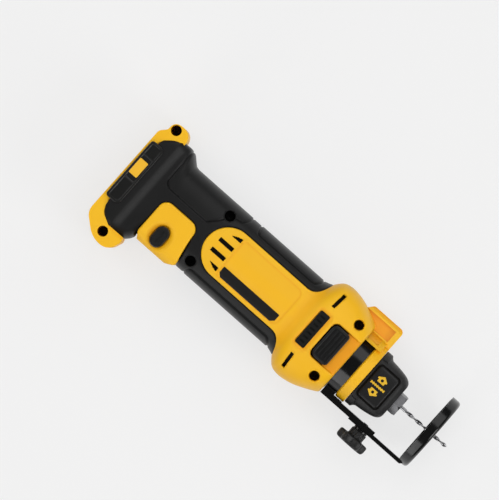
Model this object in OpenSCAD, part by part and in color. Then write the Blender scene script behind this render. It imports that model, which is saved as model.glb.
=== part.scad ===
// Cordless drywall cut-out tool, lying on its side.
// X runs along the spindle, from the rear face of the battery foot to the bit.
// Y runs across the tool, towards the light. Z runs across the two housing halves, which meet at Z = 0.

/* [Overall] */
// Depth across the two halves at the foot and the head, on which the tool lies
side_h = 76; // [74:0.5:82]
// Length of the battery foot with its shoulder
foot_len = 44; // [43:0.5:50]
// Length of the grip, from the shoulder to the head
grip_len = 142; // [138:1:165]
// Length of the head, up to the clamp band
head_len = 56.3; // [56:0.5:64]
// Length of the seat for the clamp band
neck_len = 11.5; // [9:0.5:15]
// Length of the front ring
ring_len = 9; // [7:0.5:12]
// Length of the nose collar
collar_len = 32; // [30:0.5:38]
// Wall thickness of the housing
wall = 3; // [2.4:0.1:3.6]
// Thickness of the soft overmould
skin = 1.6; // [1.2:0.1:2]

/* [Battery foot] */
// From the spindle axis to the stop end of the foot
foot_up = 54; // [52:0.5:60]
// From the spindle axis to the open end of the foot
foot_down = 64; // [62:0.5:72]
// How far the ears of the foot lie below the badge face
ear_step = 3.5; // [2.5:0.5:5]
// From the spindle axis to the upper side of the shoulder
shoulder_up = 45.5; // [44:0.5:48]
// From the spindle axis to the lower side of the shoulder
shoulder_down = 49; // [47:0.5:52]
// How far the shoulder lies below the badge face
shoulder_step = 1.5; // [1:0.25:2.5]
// Depth of the battery slot
slot_depth = 13; // [11:0.5:14]
// Clear width of the battery slot
slot_w = 58; // [52:0.5:58]
// Height of the rail lips
rail_t = 3.2; // [2.6:0.2:4]
// Reach of the rail lips into the slot
rail_reach = 4.5; // [3:0.5:6]
// From the spindle axis to the stop wall of the slot
slot_stop = 39; // [36:0.5:40]
// Length of the badge slab along the spindle
badge_len = 14; // [12:0.5:15]
// Width of the badge slab
badge_w = 59.6; // [50:0.5:60]
// Thickness of the badge slab
badge_t = 4; // [3:0.25:5]
// Length of the badge tile along the spindle
tile_len = 8.7; // [6:0.5:10]
// Width of the badge tile
tile_w = 15.4; // [10:0.5:20]
// Thickness of the badge tile
tile_t = 1.2; // [0.8:0.1:2]

/* [Barrel] */
// Width of the barrel between its two grip sides
barrel_w = 72; // [71:0.5:76]
// Depth of the barrel across the two halves
barrel_h = 66; // [64:0.5:69]
// Corner radius of the barrel's section
barrel_r = 24; // [20:0.5:27]
// Width of the tongue over the motor
tongue_w = 45.4; // [40:0.5:50]
// Length of the tongue behind the head
tongue_len = 97.5; // [94:0.5:104]
// Length of the label strip
label_len = 61; // [40:1:64]
// Width of the label strip
label_w = 9.4; // [6:0.2:10]
// Thickness of the label strip
label_t = 0.8; // [0.5:0.1:1.2]
// Length of the intake slots
intake_len = 14.5; // [8:0.5:15]
// Width of the intake slots
intake_w = 3; // [2:0.1:3.6]
// Depth of the grooves around the grip pads
groove_t = 0.6; // [0.3:0.1:1]

/* [Switch] */
// Length of the switch surround along the grip
saddle_len = 37.5; // [34:0.5:42]
// How far the switch surround stands out of the barrel
saddle_proud = 0.6; // [0.2:0.1:1.5]
// From the spindle axis to the lower side of the switch surround
saddle_down = 40.6; // [40:0.2:44]
// Width of the switch button
button_w = 12.5; // [10:0.5:15]
// Length of the switch button
button_l = 19.5; // [16:0.5:21]
// Depth of the dish around the switch button
dish_t = 1.5; // [0.8:0.1:2]
// How far the switch button pushes through
button_travel = 4; // [3:0.5:5]

/* [Head] */
// Width of the head
head_w = 95.6; // [92:0.5:102]
// Length of the exhaust window
window_len = 9.6; // [7:0.2:11]
// Width of the exhaust window
window_w = 34; // [26:0.5:36]
// Width of the exhaust slots
exhaust_w = 3; // [2:0.1:3.6]
// Length of the lock button along the spindle
lock_len = 16.5; // [13:0.5:17]
// Width of the lock button
lock_w = 32.5; // [26:0.5:33]
// How far the lock button presses in
lock_travel = 3; // [2:0.25:3.5]
// Height of the ribs on the lock button
lock_rib = 0.8; // [0.4:0.1:1.2]
// Outer radius of the front ring
ring_r = 29; // [27.5:0.25:29.25]
// From the spindle axis to the outer side of the light housing
light_up = 48.5; // [46:0.5:54]
// Depth of the light housing
light_h = 20.5; // [16:0.5:26]
// Radius of the light's lens
lens_r = 4.5; // [3:0.25:6]

/* [Spindle and motor] */
// Radius of the motor can
can_r = 25.5; // [24:0.1:26.5]
// Length of the motor can
can_len = 64; // [56:1:66]
// Radius of the armature core
armature_r = 18; // [16:0.25:18.5]
// Number of slots in the armature core
armature_slots = 12; // [6:1:16]
// Radius of the fan
fan_r = 30; // [24:0.5:32]
// Number of fan blades
fan_blades = 14; // [8:1:18]
// Radius of the motor shaft
shaft_r = 4; // [3.5:0.1:4.5]
// Radius of the spindle nose
nose_r = 7.2; // [6.8:0.1:7.6]
// Outer radius of the ball bearings
bearing_r = 11; // [10.5:0.1:11.4]
// Width of the ball bearings
bearing_w = 7; // [6:0.25:8]
// Number of balls in a bearing
bearing_balls = 8; // [6:1:9]
// Outer radius of the sleeve that carries the front bearing
sleeve_r = 15; // [14.5:0.1:15.6]
// Width of the collet nut across its flats
nut_af = 18; // [16:0.5:20]
// Length of the collet nut
nut_len = 8; // [6:0.5:10]
// Radius of the cutting bit
bit_r = 1.6; // [1.2:0.05:2.2]
// How far the bit stands out of the collet nut
bit_reach = 50; // [44:0.5:60]
// Length of one turn of the bit's flutes
flute_pitch = 19; // [14:0.5:26]

/* [Nose collar] */
// Radius of the collar's flange
flange_r = 28.3; // [27:0.1:29]
// Length of the collar's flange
flange_len = 6.5; // [5:0.25:8]
// Width of the collar's body
collar_w = 49.2; // [46:0.2:52]
// Depth of the collar between its two finger pads
collar_h = 43; // [41:0.5:45]
// Width of a finger pad
pad_w = 33.4; // [28:0.2:34]

/* [Depth guide] */
// Thickness of the clamp band
band_t = 1.7; // [1.2:0.1:2]
// Distance from the spindle axis to the inner face of the guide arm
arm_y = 30.2; // [29.8:0.1:32]
// Thickness of the guide arm
arm_t = 2.4; // [2:0.1:3]
// Width of the guide arm between its edges
arm_w = 22; // [18:0.5:28]
// Length of the guide arm in front of the clamp band
arm_len = 46; // [43:0.5:52]
// Thickness of the slide bar
bar_t = 3.4; // [2.6:0.1:4]
// Width of the slide bar
bar_w = 16; // [13:0.5:22]
// How far the guide foot stands in front of the nose collar
foot_reach = 43; // [40:0.5:50]
// Radius of the guide foot
dish_r = 35; // [34:0.5:40]
// Height of the guide foot's rim
dish_h = 9; // [7:0.25:12]
// Sheet thickness of the guide foot
sheet_t = 2; // [1.5:0.1:2.5]
// Radius of the opening in the guide foot
sight_r = 14; // [10:0.5:20]
// How far the guide slides back
slide_back = 17; // [10:0.5:20]
// How far the guide slides forward
slide_out = 7; // [4:0.5:9]
// Radius of the thumb screw's stud
stud_r = 2.5; // [2:0.1:3]
// Radius of the thumb screw's knob
knob_r = 14; // [12:0.5:17]
// Thickness of the thumb screw's knob
knob_t = 8.3; // [6:0.25:10]
// Number of lobes on the knob
knob_lobes = 6; // [4:1:8]

/* [Fasteners] */
// Radius of the round recesses over the housing screws
recess_r = 4.6; // [4.3:0.1:5]
// Radius of the housing screws' shanks
screw_r = 2; // [1.6:0.1:2.2]
// Height of the housing screws' heads above the split
screw_seat = 15; // [12:0.5:20]
// Length of a housing screw below its head
screw_len = 29; // [24:0.5:32]

/* [Hidden] */
$fn = 64;
// Close clearance between pieces that are fixed together
fit = 0.05;
// Running clearance between pieces that move on each other
run = 0.3;
// Reach of cutting shapes past what they cut
far = 300;
eps = 0.5;
arc_steps = 8;

// Stations along the spindle
head_x = foot_len + grip_len;
neck_x = head_x + head_len;
ring_x = neck_x + neck_len;
nose_x = ring_x + ring_len;
collar_x = nose_x + run;
collar_end = nose_x + collar_len;
nut_x = collar_end - 1;
nut_end = nut_x + nut_len;
bit_end = nut_end + bit_reach;
dish_x = collar_end + foot_reach - dish_h;
dish_end = dish_x + dish_h;
can_end = head_x - 4;
can_x = can_end - can_len;
bell_len = 19;
bell_x = can_x - bell_len;
tongue_x = head_x - tongue_len;
roof_x = slot_depth + wall;
lock_x = neck_x - 18.3;
fan_x = head_x + 11;
fan_len = 12;

// Heights on the two halves
half_h = side_h / 2;
ear_h = half_h - ear_step;
shoulder_h = half_h - shoulder_step;
badge_seat = half_h - badge_t;
shoulder_r = 10;
head_r = 28;
head_half = head_w / 2;
pocket_z = half_h - lock_travel - 2.8;

// Plan outlines, anticlockwise, as [x, y, corner radius]
shoulder_x = 6.5;
shoulder_plan = [
    [shoulder_x, -31, 4],
    [10.5, 7 - shoulder_down, 6],
    [24, -shoulder_down, 8],
    [foot_len - 7.5, -shoulder_down, 3],
    [foot_len + 3, 3 - barrel_w / 2, 2],
    [foot_len + 3, barrel_w / 2 - 3, 2],
    [foot_len - 8, shoulder_up, 5],
    [24.5, shoulder_up, 3],
    [9, 36, 4],
    [shoulder_x, 31, 3]
];
ear_up = [11, foot_up - 5.7];
ear_down = [20.5, 9.8 - foot_down];
foot_plan = [
    [0, -49.5, 12],
    [17, -foot_down, 22],
    [33.5, -foot_down, 11],
    [foot_len - 6, 12.5 - foot_down, 4],
    [foot_len - 9, 8 - shoulder_down, 3],
    [24, shoulder_up - 6, 2],
    [24.5, foot_up, 9],
    [5.5, foot_up, 6.5],
    [5.2, 44.5, 4],
    [0, 39, 6]
];
badge_x = 1.5;
badge_plan = [
    [badge_x, -badge_w / 2, 5],
    [badge_x + badge_len, -badge_w / 2, 5],
    [badge_x + badge_len, badge_w / 2, 5],
    [badge_x, badge_w / 2, 5]
];
flare = 9.5;
tongue_plan = [
    [tongue_x, -tongue_w / 2, tongue_w / 2 - eps],
    [head_x - 2, -tongue_w / 2, 14],
    [head_x + flare, -head_half + 3, 0],
    [head_x + flare, -far / 4, 0],
    [neck_x + far / 4, -far / 4, 0],
    [neck_x + far / 4, far / 4, 0],
    [head_x + flare, far / 4, 0],
    [head_x + flare, head_half - 3, 0],
    [head_x - 2, tongue_w / 2, 14],
    [tongue_x, tongue_w / 2, tongue_w / 2 - eps]
];
saddle_x = foot_len - 2.5;
saddle_end = saddle_x + saddle_len;
saddle_plan = [
    [saddle_x, -saddle_down, 5],
    [saddle_end - 3, -saddle_down, 3],
    [saddle_end + 5, 5 - saddle_down, 2],
    [saddle_end, -8, 5],
    [saddle_end - 0.5, 0.6, 8],
    [saddle_x, 0.6, 8]
];
grip_pad_plan = [
    [foot_len - 11, 8.5, 6],
    [tongue_x - 9, 8.5, 8],
    [tongue_x + 2, 19.5, 3],
    [tongue_x + 8, 27, 3],
    [tongue_x + 15, 28.4, 3],
    [tongue_x + 18.5, far / 5, 0],
    [foot_len - 11, far / 5, 0]
];
upper_pad_plan = [
    [tongue_x + 30.5, 28.7, 4],
    [head_x - 4, 28.7, 4],
    [head_x - 1, far / 5, 0],
    [tongue_x + 25, far / 5, 0]
];
lower_pad_plan = [
    [tongue_x + 3, -far / 5, 0],
    [head_x - 1, -far / 5, 0],
    [head_x - 5, -29.8, 4],
    [tongue_x + 5.5, -29.8, 4]
];
label_end = head_x - 10;
label_y = -14;
label_plan = [
    [label_end - label_len + 3, label_y - label_w / 2, 0.8],
    [label_end - 3, label_y - label_w / 2, 0.8],
    [label_end, label_y - label_w / 2 + 3, 0.8],
    [label_end, label_y + label_w / 2, 0.5],
    [label_end - label_len, label_y + label_w / 2, 0.5],
    [label_end - label_len, label_y - label_w / 2 + 3, 0.8]
];
barrel_edge = barrel_w / 2 - 0.5;
head_plan = [
    [head_x - 2, -barrel_edge, 0],
    [head_x + 4, -barrel_edge, 6],
    [head_x + 14, -head_half, 7],
    [head_x + 27, -head_half, 20],
    [neck_x - 11.5, 6.3 - head_half, 20],
    [neck_x, 14.3 - head_half, 1.5],
    [neck_x, head_half - 14.3, 1.5],
    [neck_x - 11.5, head_half - 6.3, 20],
    [head_x + 27, head_half, 20],
    [head_x + 14, head_half, 7],
    [head_x + 4, barrel_edge, 6],
    [head_x - 2, barrel_edge, 0]
];
light_plan = [
    [neck_x - 12, 24, 0],
    [nose_x, 24, 0],
    [nose_x, light_up, 4],
    [neck_x - 12, light_up, 3],
    [neck_x - 17.5, light_up - 6.5, 0]
];
window_x = head_x + 13.2;
window_plan = [
    [window_x, -window_w / 2, 1.5],
    [window_x + window_len, -window_w / 2, 1.5],
    [window_x + window_len, window_w / 2, 1.5],
    [window_x, window_w / 2, 1.5]
];
pocket_gap = 1.15;
pocket_plan = [
    [lock_x - lock_len / 2 - pocket_gap, -lock_w / 2 - pocket_gap, 5],
    [neck_x + far, -lock_w / 2 - pocket_gap, 0],
    [neck_x + far, lock_w / 2 + pocket_gap, 0],
    [lock_x - lock_len / 2 - pocket_gap, lock_w / 2 + pocket_gap, 5]
];
lock_plan = [
    [lock_x - lock_len / 2, -lock_w / 2, 4],
    [lock_x + lock_len / 2, -lock_w / 2, 2],
    [lock_x + lock_len / 2, lock_w / 2, 2],
    [lock_x - lock_len / 2, lock_w / 2, 4]
];

// Side outlines in X and Z
shoulder_side = [
    [4, -shoulder_h, 0],
    [24, -shoulder_h, 8],
    [foot_len + 3, 2 - barrel_h / 2, 0],
    [foot_len + 3, barrel_h / 2 - 2, 0],
    [24, shoulder_h, 8],
    [4, shoulder_h, 0]
];
head_side = [
    [head_x - 2, 0.5 - barrel_h / 2, 0],
    [head_x + 4, 0.5 - barrel_h / 2, 8],
    [head_x + 13, -half_h, 8],
    [neck_x - 15, -half_h, 12],
    [neck_x, 4 - half_h, 0],
    [neck_x, half_h - 4, 0],
    [neck_x - 15, half_h, 12],
    [head_x + 13, half_h, 8],
    [head_x + 4, barrel_h / 2 - 0.5, 8],
    [head_x - 2, barrel_h / 2 - 0.5, 0]
];

// Screw places on the split
barrel_screw_x = tongue_x + 2.5;
head_screw_x = neck_x - 11.6;
barrel_screw_y = 24.8;
head_screw_y = head_half - 19.7;
screw_places = [
    ear_up,
    ear_down,
    [barrel_screw_x, barrel_screw_y],
    [barrel_screw_x, -barrel_screw_y],
    [head_screw_x, head_screw_y],
    [head_screw_x, -head_screw_y]
];
boss_r = recess_r + 1.6;

// Switch, guide and light places
saddle_h = barrel_h + 2 * saddle_proud;
button_x = saddle_x + 17.3;
button_y = 14 - saddle_down;
band_r = ring_r - 0.2;
neck_r = band_r - band_t - fit;
knob_x = collar_end - 5.3;
bar_y = arm_y + arm_t + 0.2;
light_z = 4.5 - light_h / 2;
lens_y = light_up - 11;
pin_r = 3;
well_r = 6.2;
disc_r = 13;
collet_r = 4.6;

function unit(v) = v / norm(v);
function left(v) = [-v[1], v[0]];
function xy(p) = [p[0], p[1]];
function turned(v, a) = [v[0] * cos(a) - v[1] * sin(a), v[0] * sin(a) + v[1] * cos(a)];
function way_in(o, i) = unit(xy(o[i]) - xy(o[(i + len(o) - 1) % len(o)]));
function way_out(o, i) = unit(xy(o[(i + 1) % len(o)]) - xy(o[i]));

// An outline moved inwards by d, with its corner radii
function inset(o, d) = [
    for (i = [0:len(o) - 1])
        let (u = way_in(o, i), v = way_out(o, i), q = xy(o[i]) + d * (left(u) + left(v)) / (1 + u * v))
        [q[0], q[1], o[i][2] == 0 ? 0 : max(o[i][2] + (cross(u, v) > 0 ? -d : d), 0)]
];

// Points of a corner's arc, from the way in to the way out
function corner(b, u, v, r) =
    let (a = atan2(cross(u, v), u * v), s = sign(a), c = b - u * r * tan(abs(a) / 2) + left(u) * r * s)
    [for (k = [0:arc_steps]) c - r * s * turned(left(u), a * k / arc_steps)];

function rounded(o) = [
    for (i = [0:len(o) - 1])
        let (u = way_in(o, i), v = way_out(o, i))
        each (o[i][2] < 0.05 || abs(cross(u, v)) < 0.01 ? [xy(o[i])] : corner(xy(o[i]), u, v, o[i][2]))
];

module prism(o, z0, z1) translate([0, 0, z0]) linear_extrude(z1 - z0) polygon(rounded(o));

module along_x(x0, x1) translate([x0, 0, 0]) rotate([90, 0, 90]) linear_extrude(x1 - x0) children();

module along_y(y0, y1) translate([0, y1, 0]) rotate([90, 0, 0]) linear_extrude(y1 - y0) children();

module rod(x0, x1, r) translate([x0, 0, 0]) rotate([0, 90, 0]) cylinder(h = x1 - x0, r = r);

module cone(x0, x1, r0, r1) translate([x0, 0, 0]) rotate([0, 90, 0]) cylinder(h = x1 - x0, r1 = r0, r2 = r1);

module pipe(x0, x1, r, bore) difference() {
    rod(x0, x1, r);
    rod(x0 - eps, x1 + eps, bore);
}

module block(a, b) translate(a) cube(b - a);

module rrect(w, h, r) {
    square([w - 2 * r, h], center = true);
    square([w, h - 2 * r], center = true);
    for (sx = [-1, 1], sy = [-1, 1]) translate([sx * (w / 2 - r), sy * (h / 2 - r)]) circle(r);
}

module obround(w, l) {
    square([w, l - w], center = true);
    for (s = [-1, 1]) translate([0, s * (l - w) / 2]) circle(d = w);
}

module half(side) translate([-far / 2, -far / 2, side > 0 ? 0 : -far]) cube([3 * far, far, far]);

module facing(side) if (side > 0) children(); else mirror([0, 0, 1]) children();

// The outer form of the tool without its ears, moved inwards by d
module shoulder(d) intersection() {
    prism(inset(shoulder_plan, d), -far, far);
    along_y(-far, far) polygon(rounded(inset(shoulder_side, d)));
    along_x(-far, far) translate([(shoulder_up - shoulder_down) / 2, 0])
        rrect(shoulder_up + shoulder_down - 2 * d, 2 * (shoulder_h - d), shoulder_r - d);
}

module barrel(x0, x1, d) along_x(x0, x1) rrect(barrel_w - 2 * d, barrel_h - 2 * d, barrel_r - d);

module head(d) intersection() {
    prism(inset(head_plan, d), -far, far);
    along_y(-far, far) polygon(rounded(inset(head_side, d)));
    along_x(0, 2 * far) rrect(head_w - 2 * d, side_h - 2 * d, head_r - d);
    union() {
        rod(head_x - far / 2, neck_x - 14, head_w);
        cone(neck_x - 14 - eps, neck_x + eps, half_h + 11 - d, half_h - 1 - d);
    }
}

module form(d) {
    shoulder(d);
    barrel(foot_len - 6 + d, head_x + 8, d);
    head(d);
}

module core() {
    form(skin);
    prism(foot_plan, skin - ear_h, ear_h - skin);
}

// The plan of the soft overmould, and of everything that covers the core
module grip_area() {
    difference() {
        union() {
            prism(shoulder_plan, -far, far);
            block([foot_len - 4.5, -far / 2, -far], [head_x + 7, far / 2, far]);
        }
        prism(tongue_plan, -2 * far, 2 * far);
        prism(saddle_plan, -2 * far, 2 * far);
    }
}

module covered_area() {
    difference() {
        union() {
            prism(inset(shoulder_plan, -fit), -far, far);
            block([foot_len - 4.5, -far / 2, -far], [head_x + 7, far / 2, far]);
        }
        prism(tongue_plan, -2 * far, 2 * far);
    }
    prism(saddle_plan, -far, far);
}

module cavity() {
    barrel(foot_len - 10, head_x + 4, skin + wall);
    head(wall);
    block([roof_x, -37, 8 - badge_seat], [foot_len, 36, badge_seat - 8]);
}

module battery_slot() {
    block([rail_t, -far, -slot_w / 2], [slot_depth, slot_stop, slot_w / 2]);
    block([-eps, -far, rail_reach - slot_w / 2], [slot_depth, slot_stop, slot_w / 2 - rail_reach]);
}

terminal_y = [8, 36];
terminal_half = 13.8;

module terminal_window() block(
    [slot_depth - eps, terminal_y[0] - fit, -terminal_half - fit],
    [roof_x + eps, terminal_y[1] + fit, terminal_half + fit]
);

module screw_recess(p) translate([p[0], p[1], screw_seat]) cylinder(h = far, r = recess_r);

module button_hole(gap) translate([button_x, button_y, 0]) linear_extrude(far)
    obround(button_w + 2 * gap, button_l + 2 * gap);

module intake_slots() {
    for (y = [-5.2, 5.2])
        block([can_x - 6.5 - intake_len, y - intake_w / 2, 0], [can_x - 6.5, y + intake_w / 2, far]);
    for (s = [-1, 1]) linear_extrude(far) polygon([
        [can_x - 15.6, s * 13.4],
        [can_x - 5.5, s * 13.4],
        [can_x - 5.4, s * (14.6 + intake_w)],
        [can_x - 10, s * (13.4 + intake_w)]
    ]);
}

module exhaust_slots() for (s = [-1, 1])
    translate([window_x + 6.4, s * 33.1 - 0.5, half_h - 25]) rotate([0, 0, -s * 9])
        block([-exhaust_w / 2, -7.7, 0], [exhaust_w / 2, 7.7, far]);

module lock_tub() intersection() {
    head(eps);
    block([lock_x - 12, -lock_w / 2 - 5, half_h - 15], [neck_x, lock_w / 2 + 5, half_h]);
}

module bulkhead(x) difference() {
    barrel(x, x + wall, skin + eps);
    rod(x - eps, x + wall + eps, can_r + fit);
}

// A rib over the band, from the head to the front ring
module band_bridge() intersection() {
    union() {
        pipe(neck_x - 2, ring_x + 1, band_r + 3, band_r + run);
        pipe(ring_x, nose_x - 4, band_r + 3, neck_r);
    }
    block([0, 22.5, light_z + light_h / 2 + fit], [2 * far, far, far]);
}

module nose_stub() {
    rod(neck_x - wall, ring_x + eps, neck_r);
    cone(ring_x, ring_x + 1, ring_r - 1, ring_r);
    rod(ring_x + 1, nose_x, ring_r);
}

module housing_half(side) intersection() {
    half(side);
    facing(side) difference() {
        union() {
            difference() {
                union() {
                    difference() {
                        union() {
                            form(0);
                            prism(foot_plan, -ear_h, ear_h);
                        }
                        covered_area();
                    }
                    core();
                }
                cavity();
            }
            bulkhead(can_x + 4);
            bulkhead(can_end - 8);
            intersection() {
                form(skin + eps);
                for (p = screw_places) translate([p[0], p[1], 0]) cylinder(h = far, r = boss_r);
            }
            nose_stub();
            if (side > 0) {
                lock_tub();
                band_bridge();
            }
        }
        battery_slot();
        terminal_window();
        prism(badge_plan, badge_seat, far);
        difference() {
            prism(label_plan, 0, far);
            barrel(0, head_x, label_t);
        }
        rod(neck_x - wall - eps, nose_x + eps, sleeve_r + fit);
        intake_slots();
        exhaust_slots();
        prism(window_plan, half_h - 2.6, far);
        prism(inset(window_plan, 1.2), half_h - 12, far);
        button_hole(run);
        if (side > 0) {
            for (p = screw_places) {
                screw_recess(p);
                translate([p[0], p[1], -eps]) cylinder(h = far, r = screw_r + 0.25);
            }
            prism(pocket_plan, pocket_z, far);
            translate([lock_x, 0, pocket_z - 6.4]) cylinder(h = far, r = well_r);
            translate([lock_x, 0, 0]) cylinder(h = far, r = pin_r + 0.08);
        } else {
            for (p = screw_places) translate([p[0], p[1], -eps])
                cylinder(h = screw_len - screw_seat + 2 + eps, r = screw_r + fit);
        }
    }
}

module housing_front() color("gold") housing_half(1);

module housing_rear() color("gold") housing_half(-1);

module pad_groove(o) difference() {
    prism(o, 0, far);
    prism(inset(o, 1.1), -eps, far + eps);
    barrel(0, head_x + 20, groove_t);
}

module overmould(side) intersection() {
    half(side);
    facing(side) difference() {
        intersection() {
            form(0);
            grip_area();
        }
        core();
        prism(badge_plan, badge_seat, far);
        pad_groove(grip_pad_plan);
        pad_groove(upper_pad_plan);
        pad_groove(lower_pad_plan);
        if (side > 0) for (p = screw_places) screw_recess(p);
    }
}

module overmould_front() color("#262626") overmould(1);

module overmould_rear() color("#262626") overmould(-1);

// Boxy yoke round the switch, with a dish for the finger
module switch_surround(side) intersection() {
    half(side);
    facing(side) difference() {
        intersection() {
            prism(saddle_plan, -eps, far);
            along_x(0, far) translate([0.5 * (10 - saddle_down), 0]) rrect(saddle_down + 10, saddle_h, 9);
        }
        core();
        translate([button_x, button_y, saddle_h / 2 - dish_t]) linear_extrude(far)
            obround(button_w + 7, button_l + 3.5);
        button_hole(run);
    }
}

module switch_surround_front() color("gold") switch_surround(1);

module switch_surround_rear() color("gold") switch_surround(-1);

tile_x = badge_x + (badge_len - tile_len) / 2 - 0.5;
tile_y = 4.6;
tile_plan = [
    [tile_x, tile_y - tile_w / 2, 1],
    [tile_x + tile_len, tile_y - tile_w / 2, 1],
    [tile_x + tile_len, tile_y + tile_w / 2, 1],
    [tile_x, tile_y + tile_w / 2, 1]
];

module badge_slab(side) facing(side) difference() {
    prism(inset(badge_plan, fit), badge_seat, half_h);
    prism(tile_plan, half_h - tile_t, far);
    for (s = [-1, 1]) translate([0, tile_y + s * (tile_w / 2 + 4), half_h - 0.5])
        block([badge_x + 2.5, -0.3, 0], [badge_x + badge_len - 3, 0.3, far]);
}

module badge_slab_front() color("#1c1c1c") badge_slab(1);

module badge_slab_rear() color("#1c1c1c") badge_slab(-1);

module badge_tile(side) facing(side) prism(inset(tile_plan, fit), half_h - tile_t, half_h - 0.2);

module badge_tile_front() color("gold") badge_tile(1);

module badge_tile_rear() color("gold") badge_tile(-1);

module label_strip(side) facing(side) difference() {
    intersection() {
        prism(inset(label_plan, fit), 0, far);
        barrel(0, head_x, 0.1);
    }
    barrel(0, head_x, label_t);
}

module label_strip_front() color("#202020") label_strip(1);

module label_strip_rear() color("#202020") label_strip(-1);

module exhaust_screen(side) facing(side) difference() {
    prism(inset(window_plan, fit), half_h - 2.6, half_h - 1.1);
    for (k = [-3:3]) translate([window_x + window_len / 2, k * (window_w - 4) / 7, 0])
        block([2.4 - window_len / 2, -0.7, 0], [window_len / 2 - 2.4, 0.7, far]);
}

module exhaust_screen_front() color("#181818") exhaust_screen(1);

module exhaust_screen_rear() color("#181818") exhaust_screen(-1);

module housing_screws() color("silver") for (p = screw_places) translate([p[0], p[1], screw_seat]) {
    difference() {
        cylinder(h = 3, r = recess_r - 0.7);
        translate([0, 0, 1]) cylinder(h = far, r = 1.9, $fn = 6);
    }
    translate([0, 0, -screw_len]) cylinder(h = screw_len, r = screw_r);
}

// Battery contacts and wiring
module terminal_block() color("#222222") difference() {
    union() {
        block([rail_t + 1, terminal_y[0], -terminal_half], [roof_x + 5, terminal_y[1], terminal_half]);
        block([roof_x, terminal_y[0] - 2, -terminal_half - 3], [roof_x + 3, terminal_y[1] - 1, terminal_half + 3]);
    }
    for (k = [-2:2]) block([rail_t + eps, -far, k * 5 - 1.2], [slot_depth - 1, terminal_y[1] - 6, k * 5 + 1.2]);
}

module terminal_blades() color("silver") for (k = [-2:2])
    block([rail_t + 2.5, terminal_y[0] + 4, k * 5 - 0.4], [slot_depth - 1, terminal_y[1] - 6, k * 5 + 0.4]);

module control_module() color("#20402a")
    block([roof_x, -32, -18], [roof_x + 11, terminal_y[0] - 4, 18]);

switch_box = [[saddle_x + 7.5, -30, -15], [saddle_x + 27.5, -5, 15]];

module switch_body() color("#303030") difference() {
    union() {
        block(switch_box[0], switch_box[1]);
        block([switch_box[0][0], skin + wall - barrel_w / 2, -8], [switch_box[1][0], switch_box[0][1], 8]);
    }
    translate([button_x, button_y, -far / 2]) cylinder(h = far, r = button_w / 2 - 1.2);
}

lead_r = 1.3;

module motor_leads() color("firebrick") for (s = [-1, 1]) {
    translate([0, -9, s * 7]) rod(roof_x + 11, switch_box[0][0], lead_r);
    translate([0, -9, s * 7]) rod(switch_box[1][0], bell_x, lead_r);
}

// Motor
magnet_t = 4;
can_t = 2;

module motor_can() color("#8c8c8c") pipe(can_x, can_end, can_r, can_r - can_t);

module field_magnets() color("#3a3a3a") intersection() {
    pipe(can_x + 8, can_end - 8, can_r - can_t - fit, can_r - can_t - magnet_t);
    for (s = [-1, 1]) block([can_x, s > 0 ? 11 : -far, -far], [can_end, s > 0 ? far : -11, far]);
}

commutator_r = 11;
brush_w = 8;

module motor_rear_bell() color("#2b2b2b") difference() {
    rod(bell_x, can_x, can_r);
    rod(bell_x + bearing_w + 1, can_x + eps, can_r - can_t);
    rod(bell_x + 1, can_x, bearing_r - 1.5 + fit);
    for (s = [-1, 1]) rotate([s * 50, 0, 0]) block([bell_x + 10, -4, 0], [can_x - 2, 4, far]);
}

module motor_front_plate() color("#8c8c8c") pipe(can_end, can_end + 3, can_r, shaft_r + 3);

// The boxes reach out to the bell's wall, which is can_t thick
brush_top = sqrt(pow(can_r - can_t, 2) - pow(brush_w / 2 + 1, 2)) - fit;

module brush_boxes() color("goldenrod") for (s = [-1, 1]) rotate([s > 0 ? 0 : 180, 0, 0]) difference() {
    block([can_x - 10, commutator_r + 1.5, -brush_w / 2 - 1], [can_x - 2, brush_top, brush_w / 2 + 1]);
    block([can_x - 9, 0, -brush_w / 2], [can_x - 3, brush_top - 1, brush_w / 2]);
}

module brushes() color("#222222") for (s = [-1, 1]) rotate([s > 0 ? 0 : 180, 0, 0]) difference() {
    block([can_x - 9 + fit, commutator_r - 1, fit - brush_w / 2], [can_x - 3 - fit, brush_top - 4, brush_w / 2 - fit]);
    rod(can_x - 10, can_x, commutator_r + 0.06);
}

module brush_springs() color("silver") for (s = [-1, 1]) rotate([s > 0 ? 0 : 180, 0, 0])
    block([can_x - 7.5, brush_top - 4, -2], [can_x - 4.5, brush_top - 1, 2]);

// Ball bearings, as races and balls between them
module race(x, r0, r1) pipe(x, x + bearing_w, r1, r0);

rear_r = bearing_r - 1.5;
rear_x = bell_x + 1;
front_x = neck_x - 2;
race_t = 1.9;
ball_gap = 0.03;

module rear_bearing_ring() color("silver") race(rear_x, rear_r - race_t, rear_r);

module front_bearing_ring() color("silver") race(front_x, bearing_r - race_t, bearing_r);

module balls(x, r_in, r_out) for (k = [0:bearing_balls - 1]) rotate([k * 360 / bearing_balls, 0, 0])
    translate([x + bearing_w / 2, (r_in + r_out) / 2, 0]) sphere(r = (r_out - r_in) / 2 - ball_gap);

module bearing_balls_set() color("silver") {
    balls(rear_x, shaft_r - 0.5 + race_t, rear_r - race_t);
    balls(front_x, shaft_r + race_t, bearing_r - race_t);
}

module bearing_inner_rings() color("silver") {
    race(rear_x, shaft_r - 0.5 + fit, shaft_r - 0.5 + race_t);
    race(front_x, shaft_r + fit, shaft_r + race_t);
}

sleeve_end = collar_end - 7;

module nose_sleeve() color("#b9bcc0") difference() {
    union() {
        rod(neck_x - wall - 4, sleeve_end, sleeve_r);
        rod(neck_x - wall - 4, neck_x - wall, sleeve_r + 7);
    }
    rod(neck_x - wall - 5, front_x, bearing_r - 2);
    rod(front_x, front_x + bearing_w, bearing_r + fit);
    rod(front_x + bearing_w - fit, sleeve_end + eps, nose_r + 1.5);
    pipe(sleeve_end - 2.2, sleeve_end - 0.8, far, sleeve_r - 1);
}

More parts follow.
